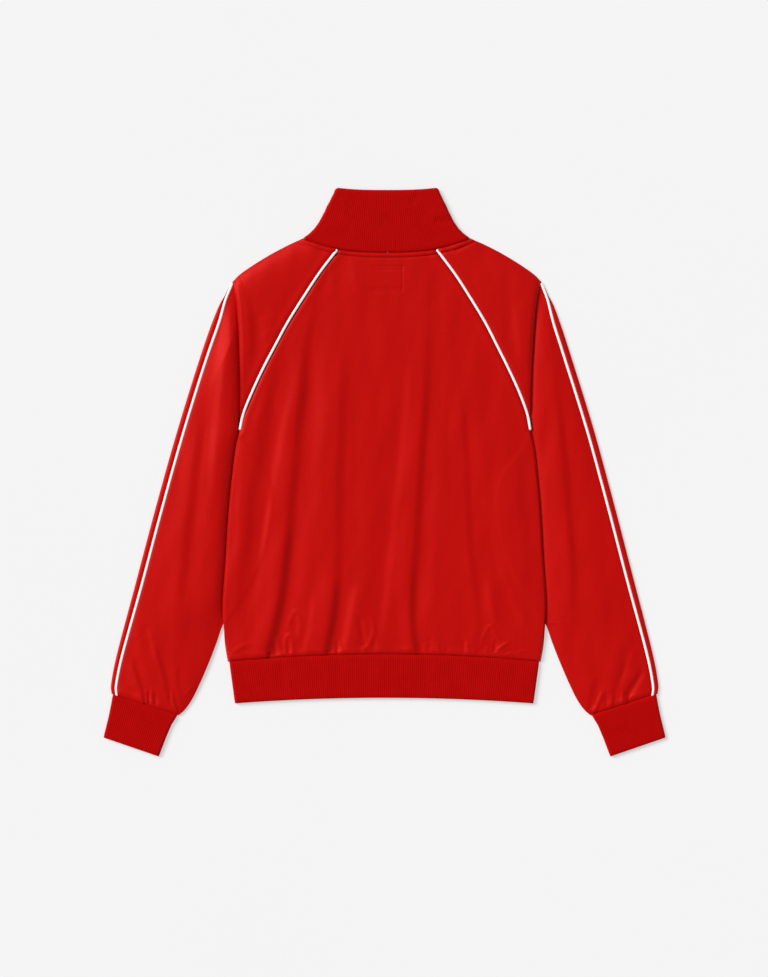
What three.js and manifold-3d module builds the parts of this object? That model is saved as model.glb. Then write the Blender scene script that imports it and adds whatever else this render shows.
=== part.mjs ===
// A raglan track jacket laid flat on its front, back up, in millimetres.
// +X runs to the right, +Y toward the collar, +Z up from the surface that it lies on.
// "out" is a distance from the jacket's middle line, "up" a place along it, so that each
// table serves the left side (side -1) and the right side (side +1).

import * as THREE from 'three';
import Module from 'manifold-3d';

// Walls and gaps
const CLOTH = 1.2;
const RIB_WALL = 2.4;
const COLLAR_WALL = 3.0;
const SEAM_GAP = 0.3;
const HALF_GAP = SEAM_GAP / 2;

// Heights above the surface
const LAYER_LOW = CLOTH + SEAM_GAP;
const LAYER_PLAY = 0.1;
const SLEEVE_PLAY = 0.05;
const FRONT_OVER_SLEEVE = LAYER_LOW + CLOTH + 0.8;
const BODY_RISE = 3.3;
const ZIP_CLEARANCE = 3.4;
const COLLAR_HEIGHT = 9.0;
const HEM_HEIGHT = 6.9;
const CUFF_HEIGHT = 6.2;

// Rib knit
const RIB_PITCH = 3.2;
const RIB_DEPTH = 0.45;

// Zip
const ZIP_CHANNEL = 6;
const TAPE_INNER = 1.8;
const TAPE_OUTER = 15;
const ZIP_REACH = TAPE_OUTER + 6;
const TAPE_THICK = 1.0;
const TAPE_SHORT = 2;
const TAPE_EASE = 16;
const TAPE_BENDS = [-180, -100, 0, 60, 150, 215];

// Half outlines, read at 1.45 mm to a pixel of the photograph
const UNDERARM = { out: 209.5, up: 61.6 };
const NECK = { middle: 319.1, rise: 5.0, raglanOut: 68.9, power: 2.65 };
const FRONT_NECK = { middle: 289, power: 2.2, raglanOut: 75 };
const SHOULDER_NECK = { out: 118.2, up: 340 };

const RAGLAN = [
  { out: 68.9, up: 324.1 }, { out: 96.4, up: 287.8 }, { out: 119.6, up: 253.0 },
  { out: 141.4, up: 218.2 }, { out: 160.2, up: 183.4 }, { out: 178.4, up: 148.6 },
  { out: 194.3, up: 113.8 }, { out: 205.2, up: 84.1 }, UNDERARM,
];
const FRONT_RAGLAN = [
  { out: 75, up: 307.7 }, { out: 121, up: 236 }, { out: 160, up: 170 },
  { out: 191, up: 108 }, { out: 204, up: 80 }, UNDERARM,
];
const BODY_SIDE = [
  UNDERARM, { out: 215.3, up: 35.5 }, { out: 221.1, up: -10.9 }, { out: 225.5, up: -57.3 },
  { out: 229.8, up: -126.9 }, { out: 234.2, up: -196.5 }, { out: 232.3, up: -231 },
  { out: 230.6, up: -253 }, { out: 227, up: -274.6 },
];
const SHOULDER_SLOPE = [
  SHOULDER_NECK, { out: 144.3, up: 328.4 }, { out: 176.2, up: 311 }, { out: 211, up: 287.8 },
  { out: 221.1, up: 277.7 },
];
const SLEEVE_OUTER = [
  { out: 221.1, up: 277.7 }, { out: 237.1, up: 253 }, { out: 250.1, up: 218.2 },
  { out: 273.3, up: 148.6 }, { out: 305.2, up: 44.2 }, { out: 334.2, up: -60.2 },
  { out: 361.8, up: -164.6 }, { out: 389.3, up: -269 }, { out: 394.8, up: -296 },
  { out: 396.8, up: -312 }, { out: 395.6, up: -321.4 },
];
// The inner edge lies under the body as far as EXIT, and shows below it
const SLEEVE_INNER = [
  UNDERARM, { out: 209.5, up: 50 }, { out: 197, up: 28 }, { out: 172, up: -5 },
  { out: 166, up: -50 }, { out: 178, up: -115 }, { out: 205, up: -175 },
  { out: 233.5, up: -220 }, { out: 242.5, up: -245 }, { out: 252.8, up: -272 },
  { out: 267.8, up: -307 }, { out: 279.8, up: -331 }, { out: 289.8, up: -345 },
  { out: 298.5, up: -352.6 },
];
const EXIT_UP = -220;
const HEM = {
  seamMiddle: -264.3, seamDrop: 10.6, seamHalf: 225,
  endMiddle: -326.9, endDrop: 8.2, endHalf: 216.8,
};
const COLLAR = { baseHalf: 118.2, topMiddle: 409.9, topRise: 3.4, frontTop: 384 };
const COLLAR_SIDE = [
  { level: 0, half: 118.2 }, { level: 0.2, half: 100.8 }, { level: 0.6, half: 84.6 },
  { level: 1, half: 71 },
];
const CUFF = [
  { level: 0, outerOut: 394.0, outerUp: -321.9, innerOut: 300.0, innerUp: -352.6 },
  { level: 0.5, outerOut: 399.8, outerUp: -353.2, innerOut: 315.6, innerUp: -382.4 },
  { level: 1, outerOut: 407.5, outerUp: -384.5, innerOut: 326.9, innerUp: -412.2 },
];
const CUFF_WIDTH = 92;

// The jacket doesn't lie quite straight: its right side is drawn out by a few millimetres, the
// body by "body" and the sleeve's outer edge by "arm". The zip moves with the middle.
const DRAWN_OUT = [
  { up: -330, body: 0, arm: 1.2 }, { up: -200, body: 0, arm: 2.8 }, { up: -100, body: 0.5, arm: 3.2 },
  { up: 0, body: 1.5, arm: 3.8 }, { up: 60, body: 2.6, arm: 4.5 }, { up: 150, body: 3.0, arm: 4.7 },
  { up: 215, body: 4.9, arm: 5.4 }, { up: 280, body: 6.4, arm: 6.2 }, { up: 320, body: 6.8, arm: 6.6 },
];
const DRAWN_WHERE = { leftEnd: -110, middle: 20, rightFull: 70, armStart: 200, armFull: 300 };

// Its left shoulder lies a little nearer the middle, over this range of places
const LEFT_SHOULDER = {
  by: 1.7, outStart: 60, outFull: 120, outFade: 215, outEnd: 265,
  upStart: 50, upFull: 130, upFade: 325, upEnd: 345,
};

// Over-arm seam: how far it lies in from the sleeve's outer edge
const WRAP = { full: 9.6, atCuff: 7.9, start: 38, cuffReach: 200 };

// Folds of the cloth, ridges with a height above zero and troughs below it. A fold runs from
// its first point to its last and bows sideways; "top" and "end" say how strongly it starts
// and stops, from 0, faded out, to 1, cut off by a seam.
const BACK_FOLDS = [
  { x0: -130, y0: 208, x1: -203, y1: -200, bow: -10, wide: 15, high: -2.4, top: 0, end: 0.2 },
  { x0: -100, y0: 240, x1: -152, y1: -262, bow: 6, wide: 15, high: -2.8, top: 0.1, end: 1 },
  { x0: -53, y0: 190, x1: -69, y1: -262, bow: 4, wide: 15, high: -2.2, top: 0, end: 1 },
  { x0: 67, y0: 225, x1: 51, y1: -262, bow: -3, wide: 15, high: -2.6, top: 0, end: 0.9 },
  { x0: 121, y0: 140, x1: 144, y1: -262, bow: -4, wide: 14, high: -2.2, top: 0, end: 0.7 },
  { x0: 194, y0: 34, x1: 216, y1: -200, bow: 0, wide: 14, high: -1.4, top: 0, end: 0 },
  { x0: -146, y0: 180, x1: -200, y1: -225, bow: -6, wide: 16, high: 1.4, top: 0, end: 0.3 },
  { x0: -108, y0: 220, x1: -152, y1: -190, bow: 4, wide: 16, high: 1.4, top: 0, end: 0.3 },
  { x0: -44, y0: -150, x1: -63, y1: -258, bow: 0, wide: 12, high: 1.4, top: 0, end: 0.6 },
  { x0: 40, y0: 190, x1: -8, y1: -250, bow: -4, wide: 18, high: 1.5, top: 0, end: 0.4 },
  { x0: 100, y0: 120, x1: 122, y1: -190, bow: -4, wide: 16, high: 1.2, top: 0, end: 0.2 },
  { x0: 160, y0: -110, x1: 210, y1: -245, bow: 0, wide: 14, high: 1.2, top: 0, end: 0 },
];
const HEM_GATHERS = [
  { x: -176, high: 1.3 }, { x: -150, high: 1.6 }, { x: -128, high: 1.8 }, { x: -100, high: 1.0 },
  { x: -36, high: 1.0 }, { x: -14, high: 0.9 }, { x: 72, high: 1.1 }, { x: 104, high: 1.2 },
  { x: 158, high: 1.8 }, { x: 180, high: 1.6 }, { x: 205, high: 1.5 },
];
const GATHER = { top: -226, foot: -262, wide: 10 };
const SLEEVE_FOLDS = [
  { x0: -256, y0: 111, x1: -311, y1: -257, bow: 0, wide: 15, high: -2.2, top: 0, end: 0.2 },
  { x0: -243, y0: 120, x1: -262, y1: 20, bow: 0, wide: 14, high: 1.2, top: 0, end: 0 },
  { x0: -358, y0: -220, x1: -326, y1: -286, bow: 0, wide: 11, high: -1.3, top: 0, end: 0 },
  { x0: -357, y0: -300, x1: -350, y1: -326, bow: 0, wide: 9, high: -1.5, top: 0, end: 1 },
  { x0: -298, y0: -296, x1: -311, y1: -332, bow: 0, wide: 9, high: -1.4, top: 0, end: 0.8 },
  { x0: 246, y0: 163, x1: 274, y1: -194, bow: 5, wide: 15, high: -2.4, top: 0, end: 0.5 },
  { x0: 373, y0: -282, x1: 353, y1: -318, bow: 0, wide: 10, high: -1.5, top: 0, end: 0.8 },
  { x0: 322, y0: -270, x1: 338, y1: -318, bow: 0, wide: 12, high: 1.2, top: 0, end: 0.6 },
  { x0: 298, y0: -300, x1: 316, y1: -332, bow: 0, wide: 9, high: -1.3, top: 0, end: 0.8 },
];
const SHOULDER_FOLDS = [
  { x0: -203, y0: 262, x1: -188, y1: 150, bow: 3, wide: 12, high: -1.2, top: 0, end: 0 },
  { x0: -176, y0: 262, x1: -152, y1: 236, bow: 0, wide: 10, high: -1.0, top: 0, end: 0.4 },
  { x0: 181, y0: 240, x1: 196, y1: 130, bow: 0, wide: 14, high: -1.3, top: 0, end: 0 },
];

// Piping: half widths, where it starts, and its section over the cloth
const RAGLAN_PIPING = { half: 1.9, start: 3 };
const SLEEVE_PIPING = { half: 1.9, leastWrap: 0.5 };
const PIPING_ROUND = [
  { aside: -1, z: 0.35 }, { aside: -0.6, z: 1.35 }, { aside: 0, z: 1.75 },
  { aside: 0.6, z: 1.35 }, { aside: 1, z: 0.35 },
];
const PIPING_FLAT = [{ aside: -1, z: 0.3 }, { aside: 1, z: 0.3 }];

// The valley where the sleeve turns down from the shoulder, from the underarm upward. The arm
// rises from its foot within a reach, which shortens between "from" and "to".
const VALLEY_LINE = [
  UNDERARM, { out: 209.8, up: 110 }, { out: 211.2, up: 163 }, { out: 212.8, up: 207 },
  { out: 216, up: 250 }, { out: 221.1, up: 277.7 },
];
const VALLEY = { step: 4, rise: 0.9, reachHigh: 12, reachLow: 24, from: 0, to: 110, foot: 3 };

// How far from an edge or a seam the cloth takes to come up to its height
const ROUNDING = { bodySide: 9, blend: 0.6, overArm: 12, shoulder: 10, innerEdge: 10, folds: 14 };
const ARMPIT_CALM = { start: 10, full: 45 };
const ARM_FOLDS_START = { from: 8, to: 20 };

// The body's front climbs over the sleeve beneath it: where the climb starts and ends, in from
// the sleeve's inner edge, and how it fades above the underarm and below the sleeve's exit
const CLIMB = {
  start: 16, end: 1, aboveStart: 2, aboveEnd: 30, belowStart: 14, belowEnd: 40,
  columnEnd: 3, columnStart: 20, leastEnd: 12, leastStart: 24,
};

// Grid steps
const THIRDS = [0, 1 / 3, 2 / 3, 1];
const BACK_COLUMNS = 46;
const RAGLAN_STEPS = 9;
const SIDE_STEPS = 11;
const SLEEVE_COLUMNS = 12;
const FAN_STEPS = 6;
const ARM_STEPS = 12;
const FAN = { innerStep: 3.2, outerReach: 205 };
const INNER_COLUMNS = 12;

// Cloth and trim materials
const finish = (color, roughness, metalness) => {
  return new THREE.MeshStandardMaterial({ color, roughness, metalness });
};
const TRICOT = finish(0xc31514, 0.5, 0);
const RIB_KNIT = finish(0xb00a08, 0.8, 0);
const PIPING = finish(0xf2eeee, 0.5, 0);
const TAPE = finish(0xa50a0a, 0.8, 0);
const METAL = finish(0xb4b6b8, 0.35, 1);

// Small helpers
const clamp = THREE.MathUtils.clamp;
const lerp = THREE.MathUtils.lerp;
const smooth = (value, low, high) => THREE.MathUtils.smoothstep(value, low, high);
const settle = (distance, reach) => 1 - Math.exp(-Math.max(distance, 0) / reach);
const range = (count) => Array.from({ length: count + 1 }, (_, index) => index);

function curveThrough(rows) {
  const points = rows.map((row) => new THREE.Vector3(row.out, row.up, 0));
  return new THREE.CatmullRomCurve3(points, false, 'centripetal');
}

const raglan = curveThrough(RAGLAN);
const frontRaglan = curveThrough(FRONT_RAGLAN);
const bodySide = curveThrough(BODY_SIDE);
const shoulderSlope = curveThrough(SHOULDER_SLOPE);
const sleeveOuter = curveThrough(SLEEVE_OUTER);
const sleeveInner = curveThrough(SLEEVE_INNER);
const valleyLine = curveThrough([...VALLEY_LINE].reverse());

// A point on a curve, with the direction away from the jacket's middle across it
function station(curve, share) {
  const point = curve.getPointAt(share);
  const tangent = curve.getTangentAt(share);
  return { out: point.x, up: point.y, acrossOut: -tangent.y, acrossUp: tangent.x };
}

function shift(place, distance) {
  return {
    out: place.out + place.acrossOut * distance,
    up: place.up + place.acrossUp * distance,
  };
}

// "out" of a curve at a given "up", for curves that run downward
function outAt(curve, up) {
  let low = 0;
  let high = 1;
  for (let pass = 0; pass < 22; pass += 1) {
    const middle = (low + high) / 2;
    if (curve.getPoint(middle).y > up) low = middle;
    else high = middle;
  }
  return curve.getPoint(low).x;
}

const neckUp = (out) => NECK.middle + NECK.rise * (out / NECK.raglanOut) ** NECK.power;
const frontNeckCurve = (out) => {
  const rise = SHOULDER_NECK.up - FRONT_NECK.middle;
  return FRONT_NECK.middle + rise * (out / SHOULDER_NECK.out) ** FRONT_NECK.power;
};
const shoulderShare = (out, from) => (out - from) / (SHOULDER_NECK.out - from);
const frontNeckUp = (out) => {
  const seam = FRONT_NECK.raglanOut;
  if (out < seam) return frontNeckCurve(out);
  return lerp(frontNeckCurve(seam), SHOULDER_NECK.up, shoulderShare(out, seam));
};
// How far the neck seam of a sleeve's back half sags below a straight line
const neckSag = (share) => {
  const out = lerp(NECK.raglanOut, SHOULDER_NECK.out, share);
  return lerp(neckUp(NECK.raglanOut), SHOULDER_NECK.up, share) - neckUp(out);
};
const hemSeamUp = (out) => HEM.seamMiddle - HEM.seamDrop * (out / HEM.seamHalf) ** 2;
const hemEndUp = (out) => HEM.endMiddle - HEM.endDrop * (out / HEM.endHalf) ** 2;

// Height that one fold adds at a place
function foldHeight(fold, x, y) {
  const [dx, dy] = [fold.x1 - fold.x0, fold.y1 - fold.y0];
  const length = Math.hypot(dx, dy);
  const along = ((x - fold.x0) * dx + (y - fold.y0) * dy) / (length * length);
  if (along < -0.02 || along > 1.02) return 0;
  const share = clamp(along, 0, 1);
  const aside = ((x - fold.x0) * -dy + (y - fold.y0) * dx) / length;
  const off = Math.abs(aside + fold.bow * Math.sin(Math.PI * share));
  if (off > fold.wide) return 0;
  const rise = lerp(fold.top, 1, smooth(share, 0, 0.3));
  const fall = lerp(1, fold.end, smooth(share, 0.7, 1));
  return fold.high * rise * fall * Math.cos((Math.PI * off) / (2 * fold.wide)) ** 2;
}

const foldsAt = (folds, x, y) => folds.reduce((sum, fold) => sum + foldHeight(fold, x, y), 0);

function gathersAt(x, y) {
  const strength = smooth(-y, -GATHER.top, -GATHER.foot);
  let height = 0;
  for (const gather of HEM_GATHERS) {
    const off = Math.abs(x - gather.x);
    const share = off / (2 * GATHER.wide);
    if (off < GATHER.wide) height += gather.high * Math.cos(Math.PI * share) ** 2;
  }
  return height * strength;
}

// Underside of the body's front, which climbs over the sleeve that lies beneath it
function frontLift(out, up) {
  if (up < EXIT_UP - CLIMB.belowEnd) return 0;
  const edge = up > UNDERARM.up ? UNDERARM.out : outAt(sleeveInner, Math.max(up, EXIT_UP));
  const over = smooth(out, edge - CLIMB.start, edge - CLIMB.end);
  const above = 1 - smooth(up, UNDERARM.up + CLIMB.aboveStart, UNDERARM.up + CLIMB.aboveEnd);
  const below = smooth(up, EXIT_UP - CLIMB.belowEnd, EXIT_UP - CLIMB.belowStart);
  return FRONT_OVER_SLEEVE * over * above * below;
}

// Underside of the back panel
function backUnderside(x, up) {
  const out = Math.abs(x);
  const side = up > UNDERARM.up ? Infinity : outAt(bodySide, up);
  const open = LAYER_LOW + LAYER_PLAY + BODY_RISE * settle(side - out, ROUNDING.bodySide);
  const loose = open + foldsAt(BACK_FOLDS, x, up) + gathersAt(x, up);
  const held = out < ZIP_REACH ? Math.max(loose, ZIP_CLEARANCE) : loose;
  const floor = frontLift(out, up) + LAYER_LOW + SEAM_GAP;
  return (floor + held + Math.hypot(floor - held, ROUNDING.blend)) / 2;
}

// Line where the sleeve turns down from the shoulder, and below it the body's side
function valleyOut(up) {
  return outAt(up > UNDERARM.up ? valleyLine : bodySide, up);
}

// Underside of the sleeve's back half, given how far the place lies from its two edges
function sleeveUnderside(side, out, up, fromInner, fromOuter, outerLift) {
  const past = out - valleyOut(up);
  const outer = lerp(outerLift, BODY_RISE, settle(fromOuter, ROUNDING.overArm));
  const shoulder = (BODY_RISE + VALLEY.rise) * settle(fromOuter, ROUNDING.shoulder);
  const reach = lerp(VALLEY.reachLow, VALLEY.reachHigh, smooth(up, VALLEY.from, VALLEY.to));
  const free = up < EXIT_UP ? settle(fromInner, ROUNDING.innerEdge) : 1;
  const arm = outer * settle(past - VALLEY.foot, reach) * free;
  const spread = settle(fromOuter, ROUNDING.folds);
  const started = smooth(past, ARM_FOLDS_START.from, ARM_FOLDS_START.to);
  const hanging = arm + foldsAt(SLEEVE_FOLDS, side * out, up) * started * spread;
  const creased = shoulder + foldsAt(SHOULDER_FOLDS, side * out, up) * spread;
  const fromArmpit = Math.hypot(out - UNDERARM.out, up - UNDERARM.up);
  const calm = up > UNDERARM.up ? smooth(fromArmpit, ARMPIT_CALM.start, ARMPIT_CALM.full) : 0;
  const high = smooth(-past, -VALLEY.step / 2, VALLEY.step) * calm;
  return LAYER_LOW + SLEEVE_PLAY + Math.max(lerp(hanging, creased, high), 0);
}

// Closed bodies from two skins. Each skin is rows of points; the skins may differ in how many
// rows and columns they have, and strips of triangles close the rims between them.
function wall(outer, inner, ring = false) {
  const points = [];
  const triangles = [];
  const store = (skin) => skin.map((row) => row.map((point) => points.push(...point) / 3 - 1));
  const [top, under] = [store(outer), store(inner)];

  const face = (a, b, c, reverse) => triangles.push(...(reverse ? [a, c, b] : [a, b, c]));
  const loop = (row) => (ring ? [...row, row[0]] : row);
  const cover = (skin, reverse) => {
    for (let row = 1; row < skin.length; row += 1) {
      const [near, far] = [loop(skin[row - 1]), loop(skin[row])];
      for (let column = 1; column < near.length; column += 1) {
        face(near[column - 1], near[column], far[column], reverse);
        face(near[column - 1], far[column], far[column - 1], reverse);
      }
    }
  };
  const between = (a, b) => Math.hypot(...[0, 1, 2].map((axis) => {
    return points[a * 3 + axis] - points[b * 3 + axis];
  }));
  const rim = (p, q, reverse) => {
    let [i, j] = [0, 0];
    while (i < p.length - 1 || j < q.length - 1) {
      const onFirst = j < q.length - 1 && i < p.length - 1
        && between(p[i + 1], q[j]) <= between(p[i], q[j + 1]);
      if (i < p.length - 1 && (onFirst || j === q.length - 1)) {
        face(p[i + 1], p[i], q[j], reverse);
        i += 1;
      } else {
        face(p[i], q[j], q[j + 1], reverse);
        j += 1;
      }
    }
  };
  const last = (list) => list[list.length - 1];
  cover(top, false);
  cover(under, true);
  rim(loop(top[0]), loop(under[0]), false);
  rim(loop(last(top)), loop(last(under)), true);
  if (!ring) {
    rim(top.map((row) => row[0]), under.map((row) => row[0]), true);
    rim(top.map(last), under.map(last), false);
  }

  let volume = 0;
  for (let index = 0; index < triangles.length; index += 3) {
    const [a, b, c] = triangles.slice(index, index + 3).map((corner) => {
      return new THREE.Vector3().fromArray(points, corner * 3);
    });
    volume += a.dot(b.cross(c));
  }
  if (volume < 0) triangles.reverse();
  const geometry = new THREE.BufferGeometry();
  geometry.setAttribute('position', new THREE.Float32BufferAttribute(points, 3));
  geometry.setIndex(triangles);
  return geometry;
}

// How far a place on the left shoulder moves toward the middle
function shoulderIn(x, up) {
  const where = LEFT_SHOULDER;
  const across = smooth(-x, where.outStart, where.outFull) - smooth(-x, where.outFade, where.outEnd);
  const along = smooth(up, where.upStart, where.upFull) - smooth(up, where.upFade, where.upEnd);
  return where.by * across * along;
}

// How far a place moves to the right, because the jacket's right side is drawn out
function drawnOut(x, up) {
  const last = DRAWN_OUT.length - 1;
  const level = clamp(up, DRAWN_OUT[0].up, DRAWN_OUT[last].up);
  const index = clamp(DRAWN_OUT.findIndex((row) => level <= row.up), 1, last);
  const [low, high] = [DRAWN_OUT[index - 1], DRAWN_OUT[index]];
  const share = (level - low.up) / (high.up - low.up);
  const [body, arm] = [lerp(low.body, high.body, share), lerp(low.arm, high.arm, share)];
  const where = DRAWN_WHERE;
  const ramps = smooth(x, where.leftEnd, -where.middle) + smooth(x, where.middle, where.rightFull);
  const onRight = (body * ramps) / 2 + (arm - body) * smooth(x, where.armStart, where.armFull);
  return onRight + shoulderIn(x, up);
}

const jacket = new THREE.Group();
function add(name, geometry, material) {
  const position = geometry.getAttribute('position');
  const rigid = material === METAL;
  for (const index of range(position.count - 1)) {
    const [x, up] = rigid ? [0, SLIDER.up] : [position.getX(index), position.getY(index)];
    position.setX(index, position.getX(index) + drawnOut(x, up));
  }
  geometry.computeVertexNormals();
  const mesh = new THREE.Mesh(geometry, material);
  mesh.name = name;
  jacket.add(mesh);
  return mesh;
}

// Back: rows from the neck seam to the hem seam, between the raglan seams and then the sides
function backRows() {
  const rows = range(RAGLAN_STEPS).map((step) => {
    const place = shift(station(raglan, step / RAGLAN_STEPS), -HALF_GAP);
    return { ...place, dip: NECK.rise * (1 - step / RAGLAN_STEPS) ** 2, power: NECK.power };
  });
  for (const step of range(SIDE_STEPS).slice(1)) {
    const share = step / SIDE_STEPS;
    const place = station(bodySide, share);
    rows.push({ out: place.out, up: place.up, dip: -HEM.seamDrop * share ** 3, power: 2 });
  }
  return rows;
}

function backPanelUnderside() {
  return backRows().map((row) => range(BACK_COLUMNS).map((column) => {
    const across = (2 * column) / BACK_COLUMNS - 1;
    const up = row.up - row.dip * (1 - Math.abs(across) ** row.power);
    return [across * row.out, up, backUnderside(across * row.out, up)];
  }));
}

const lifted = (skin, height) => skin.map((row) => row.map(([x, y, z]) => [x, y, z + height]));

// Fronts: flat on the surface, lifted where a sleeve lies beneath
function frontPanel(side) {
  const rows = range(RAGLAN_STEPS).map((step) => {
    const place = shift(station(frontRaglan, step / RAGLAN_STEPS), -HALF_GAP);
    return { ...place, middle: lerp(FRONT_NECK.middle, UNDERARM.up, step / RAGLAN_STEPS) };
  });
  for (const step of range(SIDE_STEPS).slice(1)) {
    const share = step / SIDE_STEPS;
    const place = station(bodySide, share);
    const dip = HEM.seamDrop * share ** 3;
    const level = lerp(UNDERARM.up, HEM.seamMiddle - HEM.seamDrop + SEAM_GAP, share);
    rows.push({ ...place, middle: level + dip });
  }
  const under = rows.map((row, index) => {
    const low = Math.max(row.up, EXIT_UP);
    const edge = row.up > UNDERARM.up ? UNDERARM.out : outAt(sleeveInner, low);
    const climb = Math.min(edge - CLIMB.columnEnd, row.out - CLIMB.leastEnd);
    const foot = Math.min(edge - CLIMB.columnStart, row.out - CLIMB.leastStart);
    const beyond = THIRDS.map((share) => lerp(climb, row.out, share));
    return [ZIP_CHANNEL, foot * THIRDS[1], foot * THIRDS[2], foot, ...beyond].map((out) => {
      const bend = index < RAGLAN_STEPS ? FRONT_NECK.power : 2;
      const across = (out - ZIP_CHANNEL) / (row.out - ZIP_CHANNEL);
      const up = lerp(row.middle, row.up, across ** bend);
      return [side * out, up, frontLift(out, up)];
    });
  });
  return wall(lifted(under, CLOTH), under);
}

// Stations shared by both halves of a sleeve: where each row starts and ends
function sleeveStations(seam) {
  const rows = range(RAGLAN_STEPS).map((step) => ({
    inner: shift(station(seam, step / RAGLAN_STEPS), HALF_GAP),
    outer: station(shoulderSlope, step / RAGLAN_STEPS),
    down: 0,
    neck: (1 - step / RAGLAN_STEPS) ** 2,
  }));
  const [innerLength, outerLength] = [sleeveInner.getLength(), sleeveOuter.getLength()];
  for (const step of range(FAN_STEPS + ARM_STEPS).slice(1)) {
    const fan = Math.min(step, FAN_STEPS);
    const arm = Math.max(step - FAN_STEPS, 0) / ARM_STEPS;
    const innerAt = lerp(fan * FAN.innerStep, innerLength, arm);
    const outerAt = lerp((fan / FAN_STEPS) * FAN.outerReach, outerLength, arm);
    rows.push({
      inner: station(sleeveInner, innerAt / innerLength),
      outer: station(sleeveOuter, outerAt / outerLength),
      down: outerAt,
      neck: 0,
    });
  }
  return rows.map((row) => {
    const wrapped = smooth(row.down, 0, WRAP.start);
    const toCuff = smooth(row.down, outerLength - WRAP.cuffReach, outerLength);
    return { ...row, wrapped, wrap: wrapped * lerp(WRAP.full, WRAP.atCuff, toCuff) };
  });
}

const HOOK = [
  { outerIn: 3.0, outerZ: 0, innerIn: 3.4, innerZ: CLOTH, flatIn: 7.0 },
  { outerIn: 0.9, outerZ: 0.5, innerIn: 2.0, innerZ: 1.45, flatIn: 5.0 },
  { outerIn: 0.0, outerZ: 2.2, innerIn: 1.2, innerZ: 2.2, flatIn: 3.0 },
  { outerIn: 0.9, outerZ: 3.7, innerIn: 1.9, innerZ: 2.8, flatIn: 1.5 },
  { outerIn: 4.4, outerZ: 4.4, innerIn: 4.6, innerZ: 3.2, flatIn: 0.7 },
  { outerIn: WRAP.full, outerZ: 4.7, innerIn: WRAP.full, innerZ: 3.5, flatIn: 0 },
];
const HOOK_TOP = HOOK[HOOK.length - 1].outerZ;
const HOOK_LIFT = HOOK[HOOK.length - 1].innerZ - LAYER_LOW;

// Front half of a sleeve: flat beneath, its outer edge folded over to the over-arm seam
function sleeveFront(side) {
  const outer = [];
  const inner = [];
  for (const row of sleeveStations(frontRaglan)) {
    const reach = row.wrap / WRAP.full;
    const hook = HOOK.map((bend, index) => {
      const last = index === HOOK.length - 1 ? HALF_GAP : 0;
      const at = (inset, z, flatZ) => {
        const place = shift(row.outer, -lerp(bend.flatIn, inset * reach - last, row.wrapped));
        return [side * place.out, place.up, lerp(flatZ, z, row.wrapped)];
      };
      return {
        outside: at(bend.outerIn, bend.outerZ, 0),
        inside: at(bend.innerIn, bend.innerZ, CLOTH),
      };
    });
    const edge = [side * row.inner.out, row.inner.up];
    outer.push([[...edge, 0], ...hook.map((bend) => bend.outside)]);
    inner.push([[...edge, CLOTH], ...hook.map((bend) => bend.inside)]);
  }
  return wall(outer, inner);
}

// Back half of a sleeve
function sleeveBackUnderside(side) {
  return sleeveStations(raglan).map((row) => {
    const outerEnd = shift(row.outer, -row.wrap - HALF_GAP * row.wrapped);
    const width = Math.hypot(outerEnd.out - row.inner.out, outerEnd.up - row.inner.up);
    return range(SLEEVE_COLUMNS).map((column) => {
      const share = column / SLEEVE_COLUMNS;
      const out = lerp(row.inner.out, outerEnd.out, share);
      const up = lerp(row.inner.up, outerEnd.up, share) - row.neck * neckSag(share);
      const lift = HOOK_LIFT * row.wrapped;
      const fromOuter = width * (1 - share);
      const z = sleeveUnderside(side, out, up, width * share, fromOuter, lift);
      return [side * out, up, z];
    });
  });
}

// A half-round strip laid over a seam: places with the height of the cloth that it covers
function pipingStrip(places, half) {
  const row = (place, points) => points.map((point) => {
    const aside = half * point.aside;
    return [place.x + place.acrossX * aside, place.y + place.acrossY * aside, place.z + point.z];
  });
  const skin = (points) => places.map((place) => row(place, points));
  return wall(skin(PIPING_ROUND), skin(PIPING_FLAT));
}

// Highest cloth within the strip's half width of a seam point, from two panel edges
function edgeHeight(edge, next, half) {
  const run = Math.hypot(next[0] - edge[0], next[1] - edge[1]);
  return Math.max(edge[2], lerp(edge[2], next[2], Math.min(half / run, 1)));
}

function raglanPiping(side, back, sleeve) {
  const half = RAGLAN_PIPING.half;
  const start = RAGLAN_PIPING.start / raglan.getLength();
  const places = range(RAGLAN_STEPS).map((step) => {
    const place = station(raglan, Math.max(step / RAGLAN_STEPS, start));
    const column = side > 0 ? BACK_COLUMNS : 0;
    const bodyZ = edgeHeight(back[step][column], back[step][column - side], half);
    const sleeveZ = edgeHeight(sleeve[step][0], sleeve[step][1], half);
    return {
      x: side * place.out, y: place.up, z: Math.max(bodyZ, sleeveZ) + CLOTH,
      acrossX: side * place.acrossOut, acrossY: place.acrossUp,
    };
  });
  return pipingStrip(places, half);
}

function sleevePiping(side, sleeve) {
  const half = SLEEVE_PIPING.half;
  const rows = sleeveStations(raglan);
  const places = [];
  rows.forEach((row, index) => {
    if (row.wrap < SLEEVE_PIPING.leastWrap) return;
    const place = shift(row.outer, -row.wrap);
    const edge = sleeve[index];
    const panelZ = edgeHeight(edge[SLEEVE_COLUMNS], edge[SLEEVE_COLUMNS - 1], half) + CLOTH;
    places.push({
      x: side * place.out, y: place.up, z: Math.max(panelZ, HOOK_TOP),
      acrossX: side * row.outer.acrossOut, acrossY: row.outer.acrossUp,
    });
  });
  return pipingStrip(places, half);
}

// Shares of the half turn at a band's folded side
const SIDE_TURN = [0.25, 0.5, 0.75];

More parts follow.
